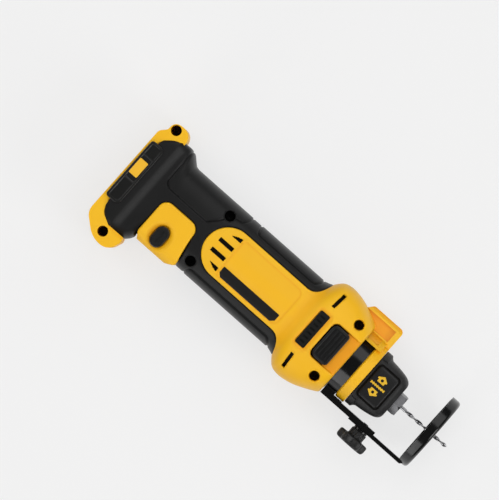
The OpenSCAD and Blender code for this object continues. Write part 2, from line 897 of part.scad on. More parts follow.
module collar_retainer() color("#6f6f6f") difference() {
    pipe(sleeve_end - 2.2 + fit, sleeve_end - 0.8 - fit, sleeve_r + 1.3, sleeve_r - 1 + fit);
    block([0, -2, 0], [2 * far, 2, far]);
}

// Light beside the nose
module light_housing() color("goldenrod") difference() {
    intersection() {
        prism(light_plan, light_z - light_h / 2, light_z + light_h / 2);
        along_x(0, 2 * far) polygon([
            [20, light_z - light_h / 2],
            [light_up - 4, light_z - light_h / 2],
            [light_up, light_z + 4 - light_h / 2],
            [light_up, light_z - 3.5 + light_h / 2],
            [light_up - 3.5, light_z + light_h / 2],
            [20, light_z + light_h / 2]
        ]);
    }
    difference() {
        head(-fit);
        translate([neck_x, 0, 0]) cube(far);
    }
    rod(neck_x - 1, ring_x + fit, band_r + run);
    rod(ring_x, nose_x + eps, ring_r + fit);
    translate([0, lens_y, light_z]) rod(nose_x - 6, nose_x + eps, lens_r + fit);
    block([0, band_r + 4, light_z - 3 + light_h / 2], [nose_x - 5.2, light_up - 4.8, far]);
}

module light_lens() color("#e8eef2") translate([0, lens_y, light_z]) rod(nose_x - 4.5, nose_x - 0.5, lens_r);

module light_board() color("#20402a") translate([0, lens_y, light_z]) rod(nose_x - 6, nose_x - 4.5, lens_r);

// Depth guide: clamp band with its arm
ear_angle = 225;
arm_x = neck_x + 0.8;
band_x = [neck_x + 0.3, ring_x - 0.4];
flange_end = ring_x + arm_len - 1.5;

module on_ear() rotate([ear_angle - 90, 0, 0]) children();

module guide_bracket() color("#1a1a1a") difference() {
    union() {
        difference() {
            union() {
                pipe(band_x[0], band_x[1], band_r, band_r - band_t);
                on_ear() for (s = [-1, 1]) block(
                    [band_x[0] + 1, s > 0 ? 1.5 : -4.5, neck_r + 1],
                    [band_x[1] - 1, s > 0 ? 4.5 : -1.5, band_r + 8]
                );
            }
            on_ear() block([0, -1.5, 0], [2 * far, 1.5, far]);
            rod(0, 2 * far, band_r - band_t);
        }
        block([arm_x, -arm_y - arm_t, -arm_w / 2], [ring_x + arm_len, -arm_y, arm_w / 2]);
        block([arm_x, -arm_y - eps, -9], [band_x[1], 3 - band_r, 9]);
        block([arm_x, -arm_y - eps, -9], [nose_x - 0.5, -ring_r - 0.4, 9]);
        for (s = [-1, 1]) block(
            [arm_x, -arm_y - arm_t - 2.3, s > 0 ? bar_w / 2 + 0.5 : -arm_w / 2],
            [flange_end, -arm_y, s > 0 ? arm_w / 2 : -bar_w / 2 - 0.5]
        );
    }
    rod(0, 2 * far, band_r - band_t);
    translate([knob_x, 0, 0]) rotate([90, 0, 0]) cylinder(h = far, r = stud_r + fit);
    on_ear() translate([(band_x[0] + band_x[1]) / 2, far / 2, band_r + 4.5]) rotate([90, 0, 0])
        cylinder(h = far, r = 2 + fit);
}

module band_bolt() color("silver") on_ear() translate([(band_x[0] + band_x[1]) / 2, 0, band_r + 4.5])
    rotate([90, 0, 0]) {
        translate([0, 0, -8]) cylinder(h = 16, r = 2);
        translate([0, 0, 4.5]) cylinder(h = 2.8, r = 3.2);
        translate([0, 0, -7.3]) cylinder(h = 2.8, r = 3.6, $fn = 6);
    }

// Moving pieces of the housing
module switch_button() color("#1c1c1c") translate([button_x, button_y, 0]) {
    translate([0, 0, 23]) linear_extrude(saddle_h / 2 - dish_t + button_travel - 0.5 - 23) obround(button_w, button_l);
    translate([0, 0, 0.5 + dish_t - saddle_h / 2]) linear_extrude(saddle_h / 2 - dish_t - 0.5 - 23)
        obround(button_w, button_l);
    translate([0, 0, -23]) cylinder(h = 46, r = button_w / 2 - 1.5);
}

cap_z = pocket_z + lock_travel + 0.4;

module lock_button() color("#1c1c1c") {
    prism(lock_plan, cap_z, half_h);
    for (k = [-1:1]) translate([lock_x + k * 4, 0, half_h - eps])
        block([-0.9, 3 - lock_w / 2, 0], [0.9, lock_w / 2 - 3, lock_rib + eps]);
}

module lock_pin() color("silver") translate([lock_x, 0, disc_r + lock_travel + 0.5])
    cylinder(h = cap_z - disc_r - lock_travel - 0.5, r = pin_r);

// Coil spring between the well and the button, one unbroken wire
spring_wire = 0.5;
spring_turns = 4;
spring_sides = 6;
spring_rings = 64;
spring_foot = pocket_z - 6.4 + spring_wire + 0.1;
spring_top = cap_z - spring_wire - 0.1;
spring_r = well_r - spring_wire - 0.5;

function coil_point(t) = [
    spring_r * cos(360 * spring_turns * t),
    spring_r * sin(360 * spring_turns * t),
    spring_foot + (spring_top - spring_foot) * t
];

function coil_ring(k) =
    let (t = k / spring_rings, a = 360 * spring_turns * t, out = [cos(a), sin(a), 0])
    [for (j = [0:spring_sides - 1]) let (b = 360 * j / spring_sides)
        coil_point(t) + spring_wire * (cos(b) * out + sin(b) * [0, 0, 1])];

module lock_spring() color("silver") translate([lock_x, 0, 0]) polyhedron(
    points = [for (k = [0:spring_rings]) each coil_ring(k)],
    faces = concat(
        [[for (j = [0:spring_sides - 1]) j]],
        [for (k = [0:spring_rings - 1], j = [0:spring_sides - 1], h = [0, 1])
            let (
                a = k * spring_sides + j,
                b = k * spring_sides + (j + 1) % spring_sides
            )
            h == 0 ? [a, a + spring_sides, b] : [b, a + spring_sides, b + spring_sides]],
        [[for (j = [spring_sides - 1:-1:0]) spring_rings * spring_sides + j]]
    )
);

// Spindle
module spindle_shaft() color("silver") {
    rod(rear_x, rear_x + bearing_w, shaft_r - 0.5);
    rod(rear_x + bearing_w, front_x + bearing_w, shaft_r);
    difference() {
        union() {
            rod(front_x + bearing_w, collar_end - 7, nose_r);
            rod(collar_end - 7, nut_end - 3, nose_r - 0.6);
        }
        rod(nut_end - 22, nut_end, collet_r + fit);
    }
}

module armature_core() color("#707070") difference() {
    pipe(can_x + 10, can_end - 12, armature_r, shaft_r + fit);
    for (k = [0:armature_slots - 1]) rotate([k * 360 / armature_slots, 0, 0])
        block([0, -1, armature_r - 6], [2 * far, 1, far]);
}

module armature_windings() color("#b5651d") {
    pipe(can_x + 3, can_x + 10, armature_r - 3, shaft_r + 2);
    pipe(can_end - 12, can_end - 5, armature_r - 3, shaft_r + 2);
    for (k = [0:armature_slots - 1]) rotate([k * 360 / armature_slots, 0, 0])
        block([can_x + 10, fit - 1, armature_r - 6 + 0.1], [can_end - 12, 1 - fit, armature_r - 3.5]);
}

module commutator() color("#b87333") difference() {
    pipe(can_x - 11, can_x + 3, commutator_r, shaft_r + fit);
    for (k = [0:armature_slots - 1]) rotate([(k + 0.5) * 360 / armature_slots, 0, 0])
        block([can_x - 12, -0.3, commutator_r - 1], [can_x + 4, 0.3, far]);
}

module cooling_fan() color("#303030") {
    pipe(fan_x, fan_x + 2, fan_r, shaft_r + fit);
    pipe(fan_x, fan_x + fan_len, shaft_r + 5, shaft_r + fit);
    for (k = [0:fan_blades - 1]) rotate([k * 360 / fan_blades, 0, 0])
        block([fan_x + 1, -0.8, shaft_r + 4], [fan_x + fan_len, 0.8, fan_r - 0.5]);
}

module lock_disc() color("#8c8c8c") difference() {
    pipe(lock_x - 5, lock_x + 5, disc_r, shaft_r + fit);
    for (k = [0:3]) rotate([45 + k * 90, 0, 0]) block([0, -pin_r - 0.3, disc_r - 4], [2 * far, pin_r + 0.3, far]);
}

module collet() color("#9a9a9a") difference() {
    union() {
        rod(nut_end - 22, nut_end - 3, collet_r);
        cone(nut_end - 3, nut_end - 0.6, collet_r, collet_r - 1.4);
    }
    rod(nut_end - 40, nut_end + eps, bit_r + fit);
    for (k = [0:2]) rotate([k * 60, 0, 0]) block([nut_end - 12, -0.3, -far], [nut_end + eps, 0.3, far]);
}

module collet_nut() color("#c9ccd0") difference() {
    intersection() {
        translate([nut_x, 0, 0]) rotate([0, 90, 0]) rotate([0, 0, 10])
            cylinder(h = nut_len, r = nut_af / 2 / cos(30), $fn = 6);
        cone(nut_x - 8, nut_end, nut_af / 2 + 8.6, nut_af / 2 + 0.2);
    }
    rod(nut_x - eps, nut_end - 3 + fit, nose_r - 0.6 + fit);
    cone(nut_end - 3, nut_end + 0.001, collet_r + fit, collet_r + fit - 1.75);
}

module cutting_bit() color("#d5d7da") {
    rod(nut_end - 20, nut_end + 2, bit_r);
    translate([nut_end + 2, 0, 0]) rotate([0, 90, 0])
        linear_extrude(bit_reach - 4, twist = -360 * (bit_reach - 4) / flute_pitch, slices = 24)
            difference() {
                circle(bit_r, $fn = 12);
                for (s = [-1, 1]) translate([s * bit_r, 0]) circle(bit_r * 0.62, $fn = 8);
            }
    cone(bit_end - 2, bit_end, bit_r * 0.8, 0.2);
}

// Nose collar
collar_half = collar_w / 2;
collar_plan = [
    [collar_x, -collar_half, 0],
    [collar_x + flange_len + 1.5, -collar_half, 0],
    [collar_end - 10, 2.3 - collar_half, 8],
    [collar_end - 2.8, 4.6 - collar_half, 3],
    [collar_end, 8 - collar_half, 1.5],
    [collar_end, collar_half - 8, 1.5],
    [collar_end - 2.8, collar_half - 4.6, 3],
    [collar_end - 10, collar_half - 2.3, 8],
    [collar_x + flange_len + 1.5, collar_half, 0],
    [collar_x, collar_half, 0]
];
collar_side = [
    [collar_x, -collar_h / 2, 0],
    [collar_end - 6, -collar_h / 2, 5],
    [collar_end, 6.5 - collar_h / 2, 1],
    [collar_end, collar_h / 2 - 6.5, 1],
    [collar_end - 6, collar_h / 2, 5],
    [collar_x, collar_h / 2, 0]
];
pad_plan = [
    [collar_x + 2.2, -pad_w / 2, 4],
    [collar_end - 6.3, -pad_w / 2, 4],
    [collar_end - 6.3, pad_w / 2, 4],
    [collar_x + 2.2, pad_w / 2, 4]
];

module pad_ring() difference() {
    prism(pad_plan, collar_h / 2 - groove_t, far);
    prism(inset(pad_plan, 1.2), -far, 2 * far);
}

module nose_collar() color("#1e1e1e") difference() {
    union() {
        intersection() {
            union() {
                rod(collar_x, collar_x + flange_len - 1, flange_r);
                cone(collar_x + flange_len - 1, collar_x + flange_len + 2.5, flange_r, flange_r - 3.5);
            }
            block([0, -far, -collar_h / 2], [2 * far, far, collar_h / 2]);
        }
        intersection() {
            prism(collar_plan, -far, far);
            along_y(-far, far) polygon(rounded(collar_side));
            union() {
                rod(collar_x, collar_end - 8, flange_r - 0.8);
                cone(collar_end - 8, collar_end, flange_r - 0.8, flange_r - 9);
            }
        }
    }
    rod(0, sleeve_end - 2.4, sleeve_r + 0.06);
    rod(sleeve_end - 2.5, collar_end - 3.5, sleeve_r + 1.6);
    rod(0, 2 * far, nut_af / 2 / cos(30) + 1.2);
    pad_ring();
    mirror([0, 0, 1]) pad_ring();
}

symbol_x = collar_x + 12.5;

// Generic marks: two arrows that point away from a toothed bar
mark_plan = [
    [-3.4, -3.2, 0.4],
    [3.4, -3.2, 0.4],
    [3.4, -0.8, 0.3],
    [4.6, -0.8, 0.3],
    [4.6, 0.4, 0.3],
    [0, 3.5, 0.8],
    [-4.6, 0.4, 0.3],
    [-4.6, -0.8, 0.3],
    [-3.4, -0.8, 0.3]
];

module collar_symbols() color("gold") translate([symbol_x, 0, collar_h / 2]) {
    block([-7.2, -0.6, 0], [7.2, 0.6, 0.25]);
    for (k = [-3:3]) block([k * 2.2 - 0.6, -1.1, 0], [k * 2.2 + 0.6, 1.1, 0.25]);
    for (s = [-1, 1]) rotate([0, 0, s > 0 ? 0 : 180]) translate([0, 6.6, 0]) linear_extrude(0.25) difference() {
        polygon(rounded(mark_plan));
        translate([0, -0.5]) circle(1.3);
    }
}

// Sliding guide: slotted bar, bent into a dished round foot
bar_x = knob_x - slide_out - stud_r - 5;
slot_y0 = knob_x - slide_out;
slot_y1 = knob_x + slide_back;
dish_edge = 3;
dish_arc = [for (k = [0:4]) [cos(k * 22.5), sin(k * 22.5)]];

module guide_slide() color("#1a1a1a") difference() {
    union() {
        block([bar_x, -bar_y - bar_t, -bar_w / 2], [dish_x + 2, -bar_y, bar_w / 2]);
        linear_extrude(bar_w, center = true) polygon([
            [dish_x + 1, -bar_y - bar_t],
            [dish_x + 2.5, -bar_y - bar_t],
            [dish_end, 6 - bar_y - bar_t],
            [dish_end, 10 - bar_y - bar_t],
            [dish_end - sheet_t, 10 - bar_y - bar_t],
            [dish_x + 1, 1 - bar_y]
        ]);
        rotate([0, 90, 0]) rotate_extrude() polygon([
            [dish_r, dish_x],
            for (p = dish_arc) [dish_r - dish_edge, dish_end - dish_edge] + dish_edge * p,
            [sight_r, dish_end],
            [sight_r, dish_end - sheet_t],
            [dish_r - dish_edge - 0.4 * sheet_t, dish_end - sheet_t],
            [dish_r - sheet_t, dish_end - dish_edge - 0.4 * sheet_t],
            [dish_r - sheet_t, dish_x]
        ]);
    }
    for (x = [slot_y0, slot_y1]) translate([x, 0, 0]) rotate([90, 0, 0]) cylinder(h = far, r = stud_r + run);
    block([slot_y0, -far, -stud_r - run], [slot_y1, 0, stud_r + run]);
}

washer_y = bar_y + bar_t + 0.15;
washer_t = 1.6;
washer_r = 6.4;
hub_y = washer_y + washer_t + 0.12;
hub_len = 6.4;

module at_knob(y) translate([knob_x, -y, 0]) rotate([90, 0, 0]) children();

module thumb_washer() color("#8a8d90") at_knob(washer_y) difference() {
    union() {
        cylinder(h = washer_t, r = washer_r - 1);
        for (k = [0:11]) rotate([0, 0, k * 30]) block([0, -0.9, 0], [washer_r, 0.9, washer_t]);
    }
    translate([0, 0, -eps]) cylinder(h = far, r = stud_r + 0.1);
}

module thumb_screw() color("#1c1c1c") {
    at_knob(arm_y - 0.6) cylinder(h = hub_y - arm_y + 1, r = stud_r);
    at_knob(hub_y) {
        cylinder(h = hub_len + 1, r = 7.2);
        translate([0, 0, hub_len]) {
            cylinder(h = knob_t, r = knob_r - 3);
            for (k = [0:knob_lobes - 1]) rotate([0, 0, k * 360 / knob_lobes]) translate([knob_r - 4.2, 0, 0])
                cylinder(h = knob_t - 1, r = 4.2);
        }
    }
}

housing_front();
housing_rear();
overmould_front();
overmould_rear();
switch_surround_front();
switch_surround_rear();
badge_slab_front();
badge_slab_rear();
badge_tile_front();
badge_tile_rear();
label_strip_front();
label_strip_rear();
exhaust_screen_front();
exhaust_screen_rear();
housing_screws();
terminal_block();
terminal_blades();
control_module();
switch_body();
motor_leads();
motor_can();
field_magnets();
motor_rear_bell();
motor_front_plate();
brush_boxes();
brushes();
brush_springs();
rear_bearing_ring();
front_bearing_ring();
bearing_balls_set();
nose_sleeve();
collar_retainer();
light_housing();
light_lens();
light_board();
guide_bracket();
band_bolt();
switch_button();
lock_button();
lock_pin();
lock_spring();
spindle_shaft();
armature_core();
armature_windings();
commutator();
cooling_fan();
lock_disc();
bearing_inner_rings();
collet();
collet_nut();
cutting_bit();
nose_collar();
collar_symbols();
guide_slide();
thumb_washer();
thumb_screw();
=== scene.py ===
import bmesh
import bpy
import numpy as np
from mathutils import Matrix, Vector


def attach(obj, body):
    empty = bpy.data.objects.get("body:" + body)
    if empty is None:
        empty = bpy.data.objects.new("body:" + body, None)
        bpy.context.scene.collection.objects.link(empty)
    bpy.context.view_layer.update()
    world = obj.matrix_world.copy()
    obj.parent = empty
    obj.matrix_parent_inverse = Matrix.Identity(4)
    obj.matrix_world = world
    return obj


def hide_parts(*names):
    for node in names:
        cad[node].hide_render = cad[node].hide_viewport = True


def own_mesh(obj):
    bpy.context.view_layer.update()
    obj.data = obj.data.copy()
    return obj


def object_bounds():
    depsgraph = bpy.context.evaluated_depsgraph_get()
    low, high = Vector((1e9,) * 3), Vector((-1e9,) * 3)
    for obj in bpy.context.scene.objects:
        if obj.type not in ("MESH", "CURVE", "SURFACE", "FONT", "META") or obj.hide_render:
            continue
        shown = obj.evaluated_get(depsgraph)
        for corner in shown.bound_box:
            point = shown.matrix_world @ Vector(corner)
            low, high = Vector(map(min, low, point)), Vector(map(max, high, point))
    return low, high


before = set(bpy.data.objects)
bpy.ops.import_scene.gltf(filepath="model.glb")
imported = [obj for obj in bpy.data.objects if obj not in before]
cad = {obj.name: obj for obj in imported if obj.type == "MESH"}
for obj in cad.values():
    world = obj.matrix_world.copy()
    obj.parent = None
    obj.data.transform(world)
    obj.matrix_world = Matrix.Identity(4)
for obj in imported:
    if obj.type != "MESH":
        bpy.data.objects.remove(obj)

cad_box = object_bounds()

# Housing halves: the tongue over the motor and the flared head, front and rear.
# Glass-filled nylon, injection moulded in yellow, split at Z = 0 and held by six
# screws that sit at the bottom of round wells.
halves = ((1, "front"), (-1, "rear"))


def fair(x, stations):
    """Monotone cubic through (x, value) stations: the slope at a station is the harmonic mean of the two
    chords beside it, and zero where they turn."""
    xs, vs = np.array(stations, float).T
    x = np.clip(np.asarray(x, float), xs[0], xs[-1])
    step = np.diff(xs)
    chord = np.diff(vs) / step
    turn = chord[:-1] * chord[1:]
    mean = 2 * turn / np.where(turn > 0, chord[:-1] + chord[1:], 1)
    slope = np.r_[chord[0], np.where(turn > 0, mean, 0), chord[-1]]
    k = np.clip(np.searchsorted(xs, x, side="right") - 1, 0, len(step) - 1)
    t = (x - xs[k]) / step[k]
    return ((1 + 2 * t) * (1 - t) ** 2 * vs[k] + t * (1 - t) ** 2 * step[k] * slope[k]
            + t * t * (3 - 2 * t) * vs[k + 1] + t * t * (t - 1) * step[k] * slope[k + 1])


def ease(a, b, x):
    """Smooth step: 0 before a, 1 past b, and 3t^2 - 2t^3 between."""
    t = np.clip((x - a) / (b - a), 0, 1)
    return t * t * (3 - 2 * t)


def unit(v):
    """Vectors divided by their own lengths."""
    return v / np.maximum(np.linalg.norm(v, axis=-1, keepdims=True), 1e-12)


def outline(corners, arc=10):
    """Closed plan loop: each corner (x, y, radius) becomes an arc that touches both of its edges."""
    c = np.array(corners, float)
    p, r = c[:, :2], c[:, 2]
    a, b = unit(np.roll(p, 1, 0) - p), unit(np.roll(p, -1, 0) - p)
    half = np.arccos(np.clip((a * b).sum(1), -1, 1)) / 2
    centre = p + unit(a + b) * (r / np.sin(half))[:, None]
    start, end = (p + edge * (r / np.tan(half))[:, None] - centre for edge in (a, b))
    s, w = np.linspace(0, 1, arc + 1)[None, :, None], (np.pi - 2 * half)[:, None, None]
    bow = (np.sin((1 - s) * w) * start[:, None] + np.sin(s * w) * end[:, None]) / np.sin(w)
    return (centre[:, None] + bow).reshape(-1, 2)


def oblong(x0, x1, y0, y1, rear, front=None, arc=10):
    """Closed plan loop of a rectangle, with one corner radius at its rear end and one at its front end."""
    front = rear if front is None else front
    return outline([(x0, y0, rear), (x1, y0, front), (x1, y1, front), (x0, y1, rear)], arc)


def circle(x, y, r):
    """Closed plan loop of a circle, in 48 points."""
    angle = np.linspace(0, 2 * np.pi, 48, endpoint=False)
    return np.stack([x + r * np.cos(angle), y + r * np.sin(angle)], 1)


def inward(loop):
    """Unit normals of a closed plan loop: the chord between each point's neighbours, turned to the inside."""
    step = np.roll(loop, -1, 0) - np.roll(loop, 1, 0)
    return unit(np.stack([-step[:, 1], step[:, 0]], 1))


def inside(x, y, loop):
    """Distance in the plan to a closed loop, positive inside: the nearest point over all edges, with the sign
    from how many edges a ray along +X crosses."""
    a, b = loop, np.roll(loop, -1, 0)
    d = b - a
    d[np.abs(d).sum(1) < 1e-9] = 1e-9
    px, py = np.ravel(x)[:, None], np.ravel(y)[:, None]
    (ax, ay), (dx, dy) = a.T, d.T
    t = np.clip(((px - ax) * dx + (py - ay) * dy) / (d ** 2).sum(1), 0, 1)
    near = np.sqrt(((px - ax - t * dx) ** 2 + (py - ay - t * dy) ** 2).min(1))
    spans = (ay > py) != (b[:, 1] > py)
    cross = spans & (px < ax + (py - ay) * dx / np.where(dy == 0, 1e-12, dy))
    return (near * np.where(cross.sum(1) % 2 == 1, 1, -1)).reshape(np.shape(x))


def lines(lo, hi, step, walls=(), room=0.4, pair=0.07):
    """Grid lines about one step apart, with a close pair at each wall so that its corner stays sharp."""
    base, walls = np.linspace(lo, hi, int(round((hi - lo) / step)) + 1), np.array(walls, float)
    clear = np.abs(base[:, None] - walls).min(1) > room if walls.size else np.ones(len(base), bool)
    return np.sort(np.r_[base[clear], walls - pair, walls + pair])


def rolled(d, radius):
    """How far a rounded edge falls at the distance d from it: the quarter circle of that radius."""
    return radius - np.sqrt(np.maximum(radius ** 2 - (radius - np.clip(d, 0, radius)) ** 2, 0))


def to_edge(grid):
    """Distance along each row of a grid to the nearer of its two ends."""
    run = np.r_["1", np.zeros((len(grid), 1)), np.linalg.norm(np.diff(grid, axis=1), axis=2).cumsum(1)]
    return np.minimum(run, run[:, -1:] - run)


def flanged(skin, inner):
    """Grid with one more column at each end, taken from an inner grid: the flange that turns in there."""
    return np.concatenate([inner[:, :1], skin, inner[:, -1:]], 1)


def clear_of(centre, places, radius):
    """Marks the quads whose centres lie outside a radius round each of some plan places."""
    return np.min([np.hypot(centre[..., 0] - x, centre[..., 1] - y) for x, y in places], 0) > radius


def stand(name, data):
    """New object at the scene's origin."""
    thing = bpy.data.objects.new(name, data)
    bpy.context.scene.collection.objects.link(thing)
    return thing


def lay(name, grid, *finishes, side=1, keep=None, wrap=False, flip=False, second=None, painted_shade=None, wall=0,
        sharp=0.6):
    """Mesh object of a grid of points in millimetres: a quad between each four neighbours, with doubles merged
    so that poles and seams close. A side of -1 mirrors it in Z = 0. keep marks the quads that stay, second the
    finish that each takes, and painted_shade how much painted shade each point takes, from 0 to 1. An open
    skin gets its wall inwards, which closes it."""
    at = np.arange(grid.shape[0] * grid.shape[1]).reshape(grid.shape[:2])
    at = np.hstack([at, at[:, :1]]) if wrap else at
    quads = np.stack([at[:-1, :-1], at[:-1, 1:], at[1:, 1:], at[1:, :-1]], -1)
    keep = np.ones(quads.shape[:2], bool) if keep is None else keep
    used, faces = np.unique(quads[keep], return_inverse=True)
    faces = faces.reshape(-1, 4)[:, ::-1] if flip or side < 0 else faces.reshape(-1, 4)
    points = (grid * (1, 1, side)).reshape(-1, 3)[used] / 1000
    mesh = bpy.data.meshes.new(name)
    mesh.from_pydata(points.tolist(), [], faces.tolist())
    if second is not None:
        mesh.polygons.foreach_set("material_index", second[keep].astype(np.int32))
    if painted_shade is not None:
        depth = mesh.attributes.new("painted_shade", "FLOAT", "POINT").data
        depth.foreach_set("value", painted_shade.reshape(-1)[used].astype(np.float32))
    bm = bmesh.new()
    bm.from_mesh(mesh)
    bmesh.ops.remove_doubles(bm, verts=bm.verts, dist=2e-6)
    bm.to_mesh(mesh)
    bm.free()
    mesh.shade_smooth()
    mesh.set_sharp_from_angle(angle=sharp)
    for finish in finishes:
        mesh.materials.append(finish)
    piece = stand(name, mesh)
    if wall:
        shell = piece.modifiers.new("wall", "SOLIDIFY")
        shell.thickness, shell.offset = wall / 1000, -1
    return piece


def srgb(colour):
    """Linear colour of an 8-bit screen colour, or of one level of grey."""
    c = np.broadcast_to(colour, 3) / 255
    return (*np.where(c <= 0.04045, c / 12.92, ((c + 0.055) / 1.055) ** 2.4), 1.0)


def put(node, values):
    """Sets inputs of a node by their labels or numbers."""
    for label, value in values.items():
        node.inputs[label].default_value = value


def wire(tree, *pairs):
    """Links each (from, to) pair of sockets."""
    for source, target in pairs:
        tree.links.new(source, target)


def node_group(name, inputs, outputs):
    """Empty shader node group: named number inputs with their values, a Vector input, and named outputs."""
    group = bpy.data.node_groups.new(name, "ShaderNodeTree")
    group.interface.new_socket("Vector", in_out="INPUT", socket_type="NodeSocketVector")
    for label, value in inputs:
        group.interface.new_socket(label, in_out="INPUT", socket_type="NodeSocketFloat").default_value = value
    for label in outputs:
        group.interface.new_socket(label, in_out="OUTPUT", socket_type="NodeSocketFloat")
    return group, group.nodes.new("NodeGroupInput"), group.nodes.new("NodeGroupOutput")


def surface(name, bright, dim, rough, depth, group, scales, tinting, texture):
    """Material of a marked surface: two tints mixed by one output of a node group, roughness between two values
    by another, and that other also as a bump of the given depth in millimetres."""
    mat = bpy.data.materials.new(name)
    mat.use_nodes = True
    tree = mat.node_tree
    shader = tree.nodes["Principled BSDF"]
    place, marks, tint, dull, bump = (tree.nodes.new("ShaderNode" + kind)
                                      for kind in ("TexCoord", "Group", "Mix", "MapRange", "Bump"))
    marks.node_tree = group
    tint.data_type = "RGBA"
    put(marks, scales)
    put(tint, {6: srgb(dim), 7: srgb(bright)})
    put(dull, {"From Min": 0.3, "From Max": 0.7, "To Min": rough[0], "To Max": rough[1]})
    put(bump, {"Distance": depth / 1000})
    wire(tree, (place.outputs["Object"], marks.inputs["Vector"]),
         (marks.outputs[tinting], tint.inputs[0]), (tint.outputs[2], shader.inputs["Base Color"]),
         (marks.outputs[texture], dull.inputs["Value"]), (dull.outputs["Result"], shader.inputs["Roughness"]),
         (marks.outputs[texture], bump.inputs["Height"]), (bump.outputs["Normal"], shader.inputs["Normal"]))
    return mat


def overlay(mat, colour, mask):
    """Mixes one more colour over the tints of a material, by a mask."""
    tree = mat.node_tree
    over = tree.nodes.new("ShaderNodeMix")
    over.data_type = "RGBA"
    put(over, {7: srgb(colour)})
    wire(tree, (mask, over.inputs[0]), (tree.nodes["Mix"].outputs[2], over.inputs[6]),
         (over.outputs[2], tree.nodes["Principled BSDF"].inputs["Base Color"]))


# Moulded grain: a fine spark-eroded texture and the broad marks of the melt's flow.
grain_scale, flow_scale = 1800, 25
grain, grain_in, grain_out = node_group(
    "moulded_grain", (("Grain scale", grain_scale), ("Flow scale", flow_scale)), ("Grain", "Flow"))
for label, detail in (("Grain", 3), ("Flow", 2)):
    noise = grain.nodes.new("ShaderNodeTexNoise")
    put(noise, {"Detail": detail})
    wire(grain, (grain_in.outputs["Vector"], noise.inputs["Vector"]),
         (grain_in.outputs[label + " scale"], noise.inputs["Scale"]),
         (noise.outputs["Fac"], grain_out.inputs[label]))


def moulded(name, bright, dim, rough, depth, size=grain_scale, level=0.5, coat=0.0, shade_colour=None):
    """Moulded surface: tints by the flow marks, roughness and bump by the grain. A shade colour, where given, is
    painted over them as far as the mesh's painted_shade attribute asks: painted shade in recesses and grooves."""
    mat = surface(name, bright, dim, rough, depth, grain, {"Grain scale": size, "Flow scale": flow_scale},
                  "Flow", "Grain")
    nodes = mat.node_tree.nodes
    put(nodes["Principled BSDF"], {"Specular IOR Level": level, "Coat Weight": coat, "Coat Roughness": 0.12})
    if shade_colour:
        # Painted shade: the mesh's painted_shade attribute mixes the shade colour over the tints.
        mask = nodes.new("ShaderNodeAttribute")
        mask.attribute_name = "painted_shade"
        overlay(mat, shade_colour, mask.outputs["Fac"])
    return mat


# Painted shade: an orange copy of the yellow, for the bridge over the band and the lamp scoop, where they lie in the
# head's shadow.
shade_bright, shade_dim = (244, 170, 18), (240, 162, 12)
# Its shade colour is painted shade, orange, in the recesses and on the slopes that the painted_shade attribute marks.
yellow_nylon = moulded("yellow_nylon", (246, 190, 26), (243, 181, 16), (0.38, 0.52), 0.03, level=0.3,
                       shade_colour=(233, 147, 6))
yellow_painted_shade = moulded("yellow_painted_shade", shade_bright, shade_dim, (0.4, 0.54), 0.03, level=0.3)
# Painted shade, near black: the floors and lower walls of the air slots, the gap round the lock button in its pocket
# and the collar's pad groove, where shadow falls.
painted_dark_shade = moulded("painted_dark_shade", (17, 15, 12), (11, 10, 8), (0.6, 0.8), 0.02, level=0.2)
screen_black = moulded("screen_black", (24, 24, 22), (20, 20, 18), (0.5, 0.64), 0.03, 1500, 0.2)

body_back, body_end = 6.5, 242.3
body_top = [(body_back, 30.9), (7.4, 33.2), (9, 36), (14, 40.6), (19, 43.6), (24, 45.2), (29, 45.5), (32.5, 44.8),
            (36.5, 42.3), (40.2, 38.9), (43.5, 36.5), (47, 36), (184, 36), (188, 36.9), (191, 38), (193, 39.2),
            (195, 41.9), (198, 45), (201, 46.7), (205, 47.5), (208, 47.7), (215, 46.9), (222, 45.2), (230, 42),
            (236, 39.2), (240, 37.1), (241.6, 35.9), (body_end, 34.7)]
body_bottom = [(body_back, -30.9), (8, -37), (10.5, -41), (15, -45), (20, -47.5), (25, -48.7), (31, -48.9),
               (36, -48.2), (40, -45), (43, -40.2), (47, -36.4), (50, -36)]
body_bottom += [(x, -y) for x, y in body_top if x > 180]
body_depth = [(body_back, 36.3), (17, 36.5), (20, 36.2), (23, 35), (26, 33.3), (28.5, 32.3), (32, 31.9), (39, 32.1),
              (46, 32.9), (52, 33), (185, 33), (190.8, 34.2), (197.5, 37.2), (203, 38), (226, 38), (234, 37.6),
              (239, 36.8), (241.6, 35.8), (body_end, 35)]
body_square = [(body_back, 24), (16, 22), (24, 15), (29, 10), (33, 7), (38, 4.2), (47, 3.05), (186, 3.05),
               (200, 3.3), (226, 3), (body_end, 2.5)]


def body_section(x):
    """Middle, half width, depth and squareness n of the section at x, a superellipse |v/w|^n + |z/d|^n = 1."""
    top, bottom = fair(x, body_top), fair(x, body_bottom)
    return (top + bottom) / 2, (top - bottom) / 2, fair(x, body_depth), fair(x, body_square)


def body_height(x, y):
    """Height of the front skin over a plan point: depth * (1 - |v/w|^n)^(1/n)."""
    middle, half, depth, n = body_section(x)
    return depth * (1 - np.clip(np.abs(y - middle) / half, 0, 1) ** n) ** (1 / n)


def body_out(grid, step=0.02):
    """Outward normals at points on the body: the slope of |v/w|^n + |z/d|^n there, from a step either way."""
    level = []
    for move in np.r_[np.eye(3), -np.eye(3)] * step:
        x, y, z = np.moveaxis(grid + move, 2, 0)
        middle, half, depth, n = body_section(x)
        level.append(np.abs((y - middle) / half) ** n + np.abs(z / depth) ** n)
    return unit(np.stack(level[:3], -1) - np.stack(level[3:], -1))


def body_around(x, angle):
    """Point of the section at a polar angle about its middle, from +Y over +Z."""
    middle, half, depth, n = body_section(x)
    reach = ((np.abs(np.cos(angle)) / half) ** n + (np.abs(np.sin(angle)) / depth) ** n) ** (-1 / n)
    return middle + reach * np.cos(angle), reach * np.abs(np.sin(angle))


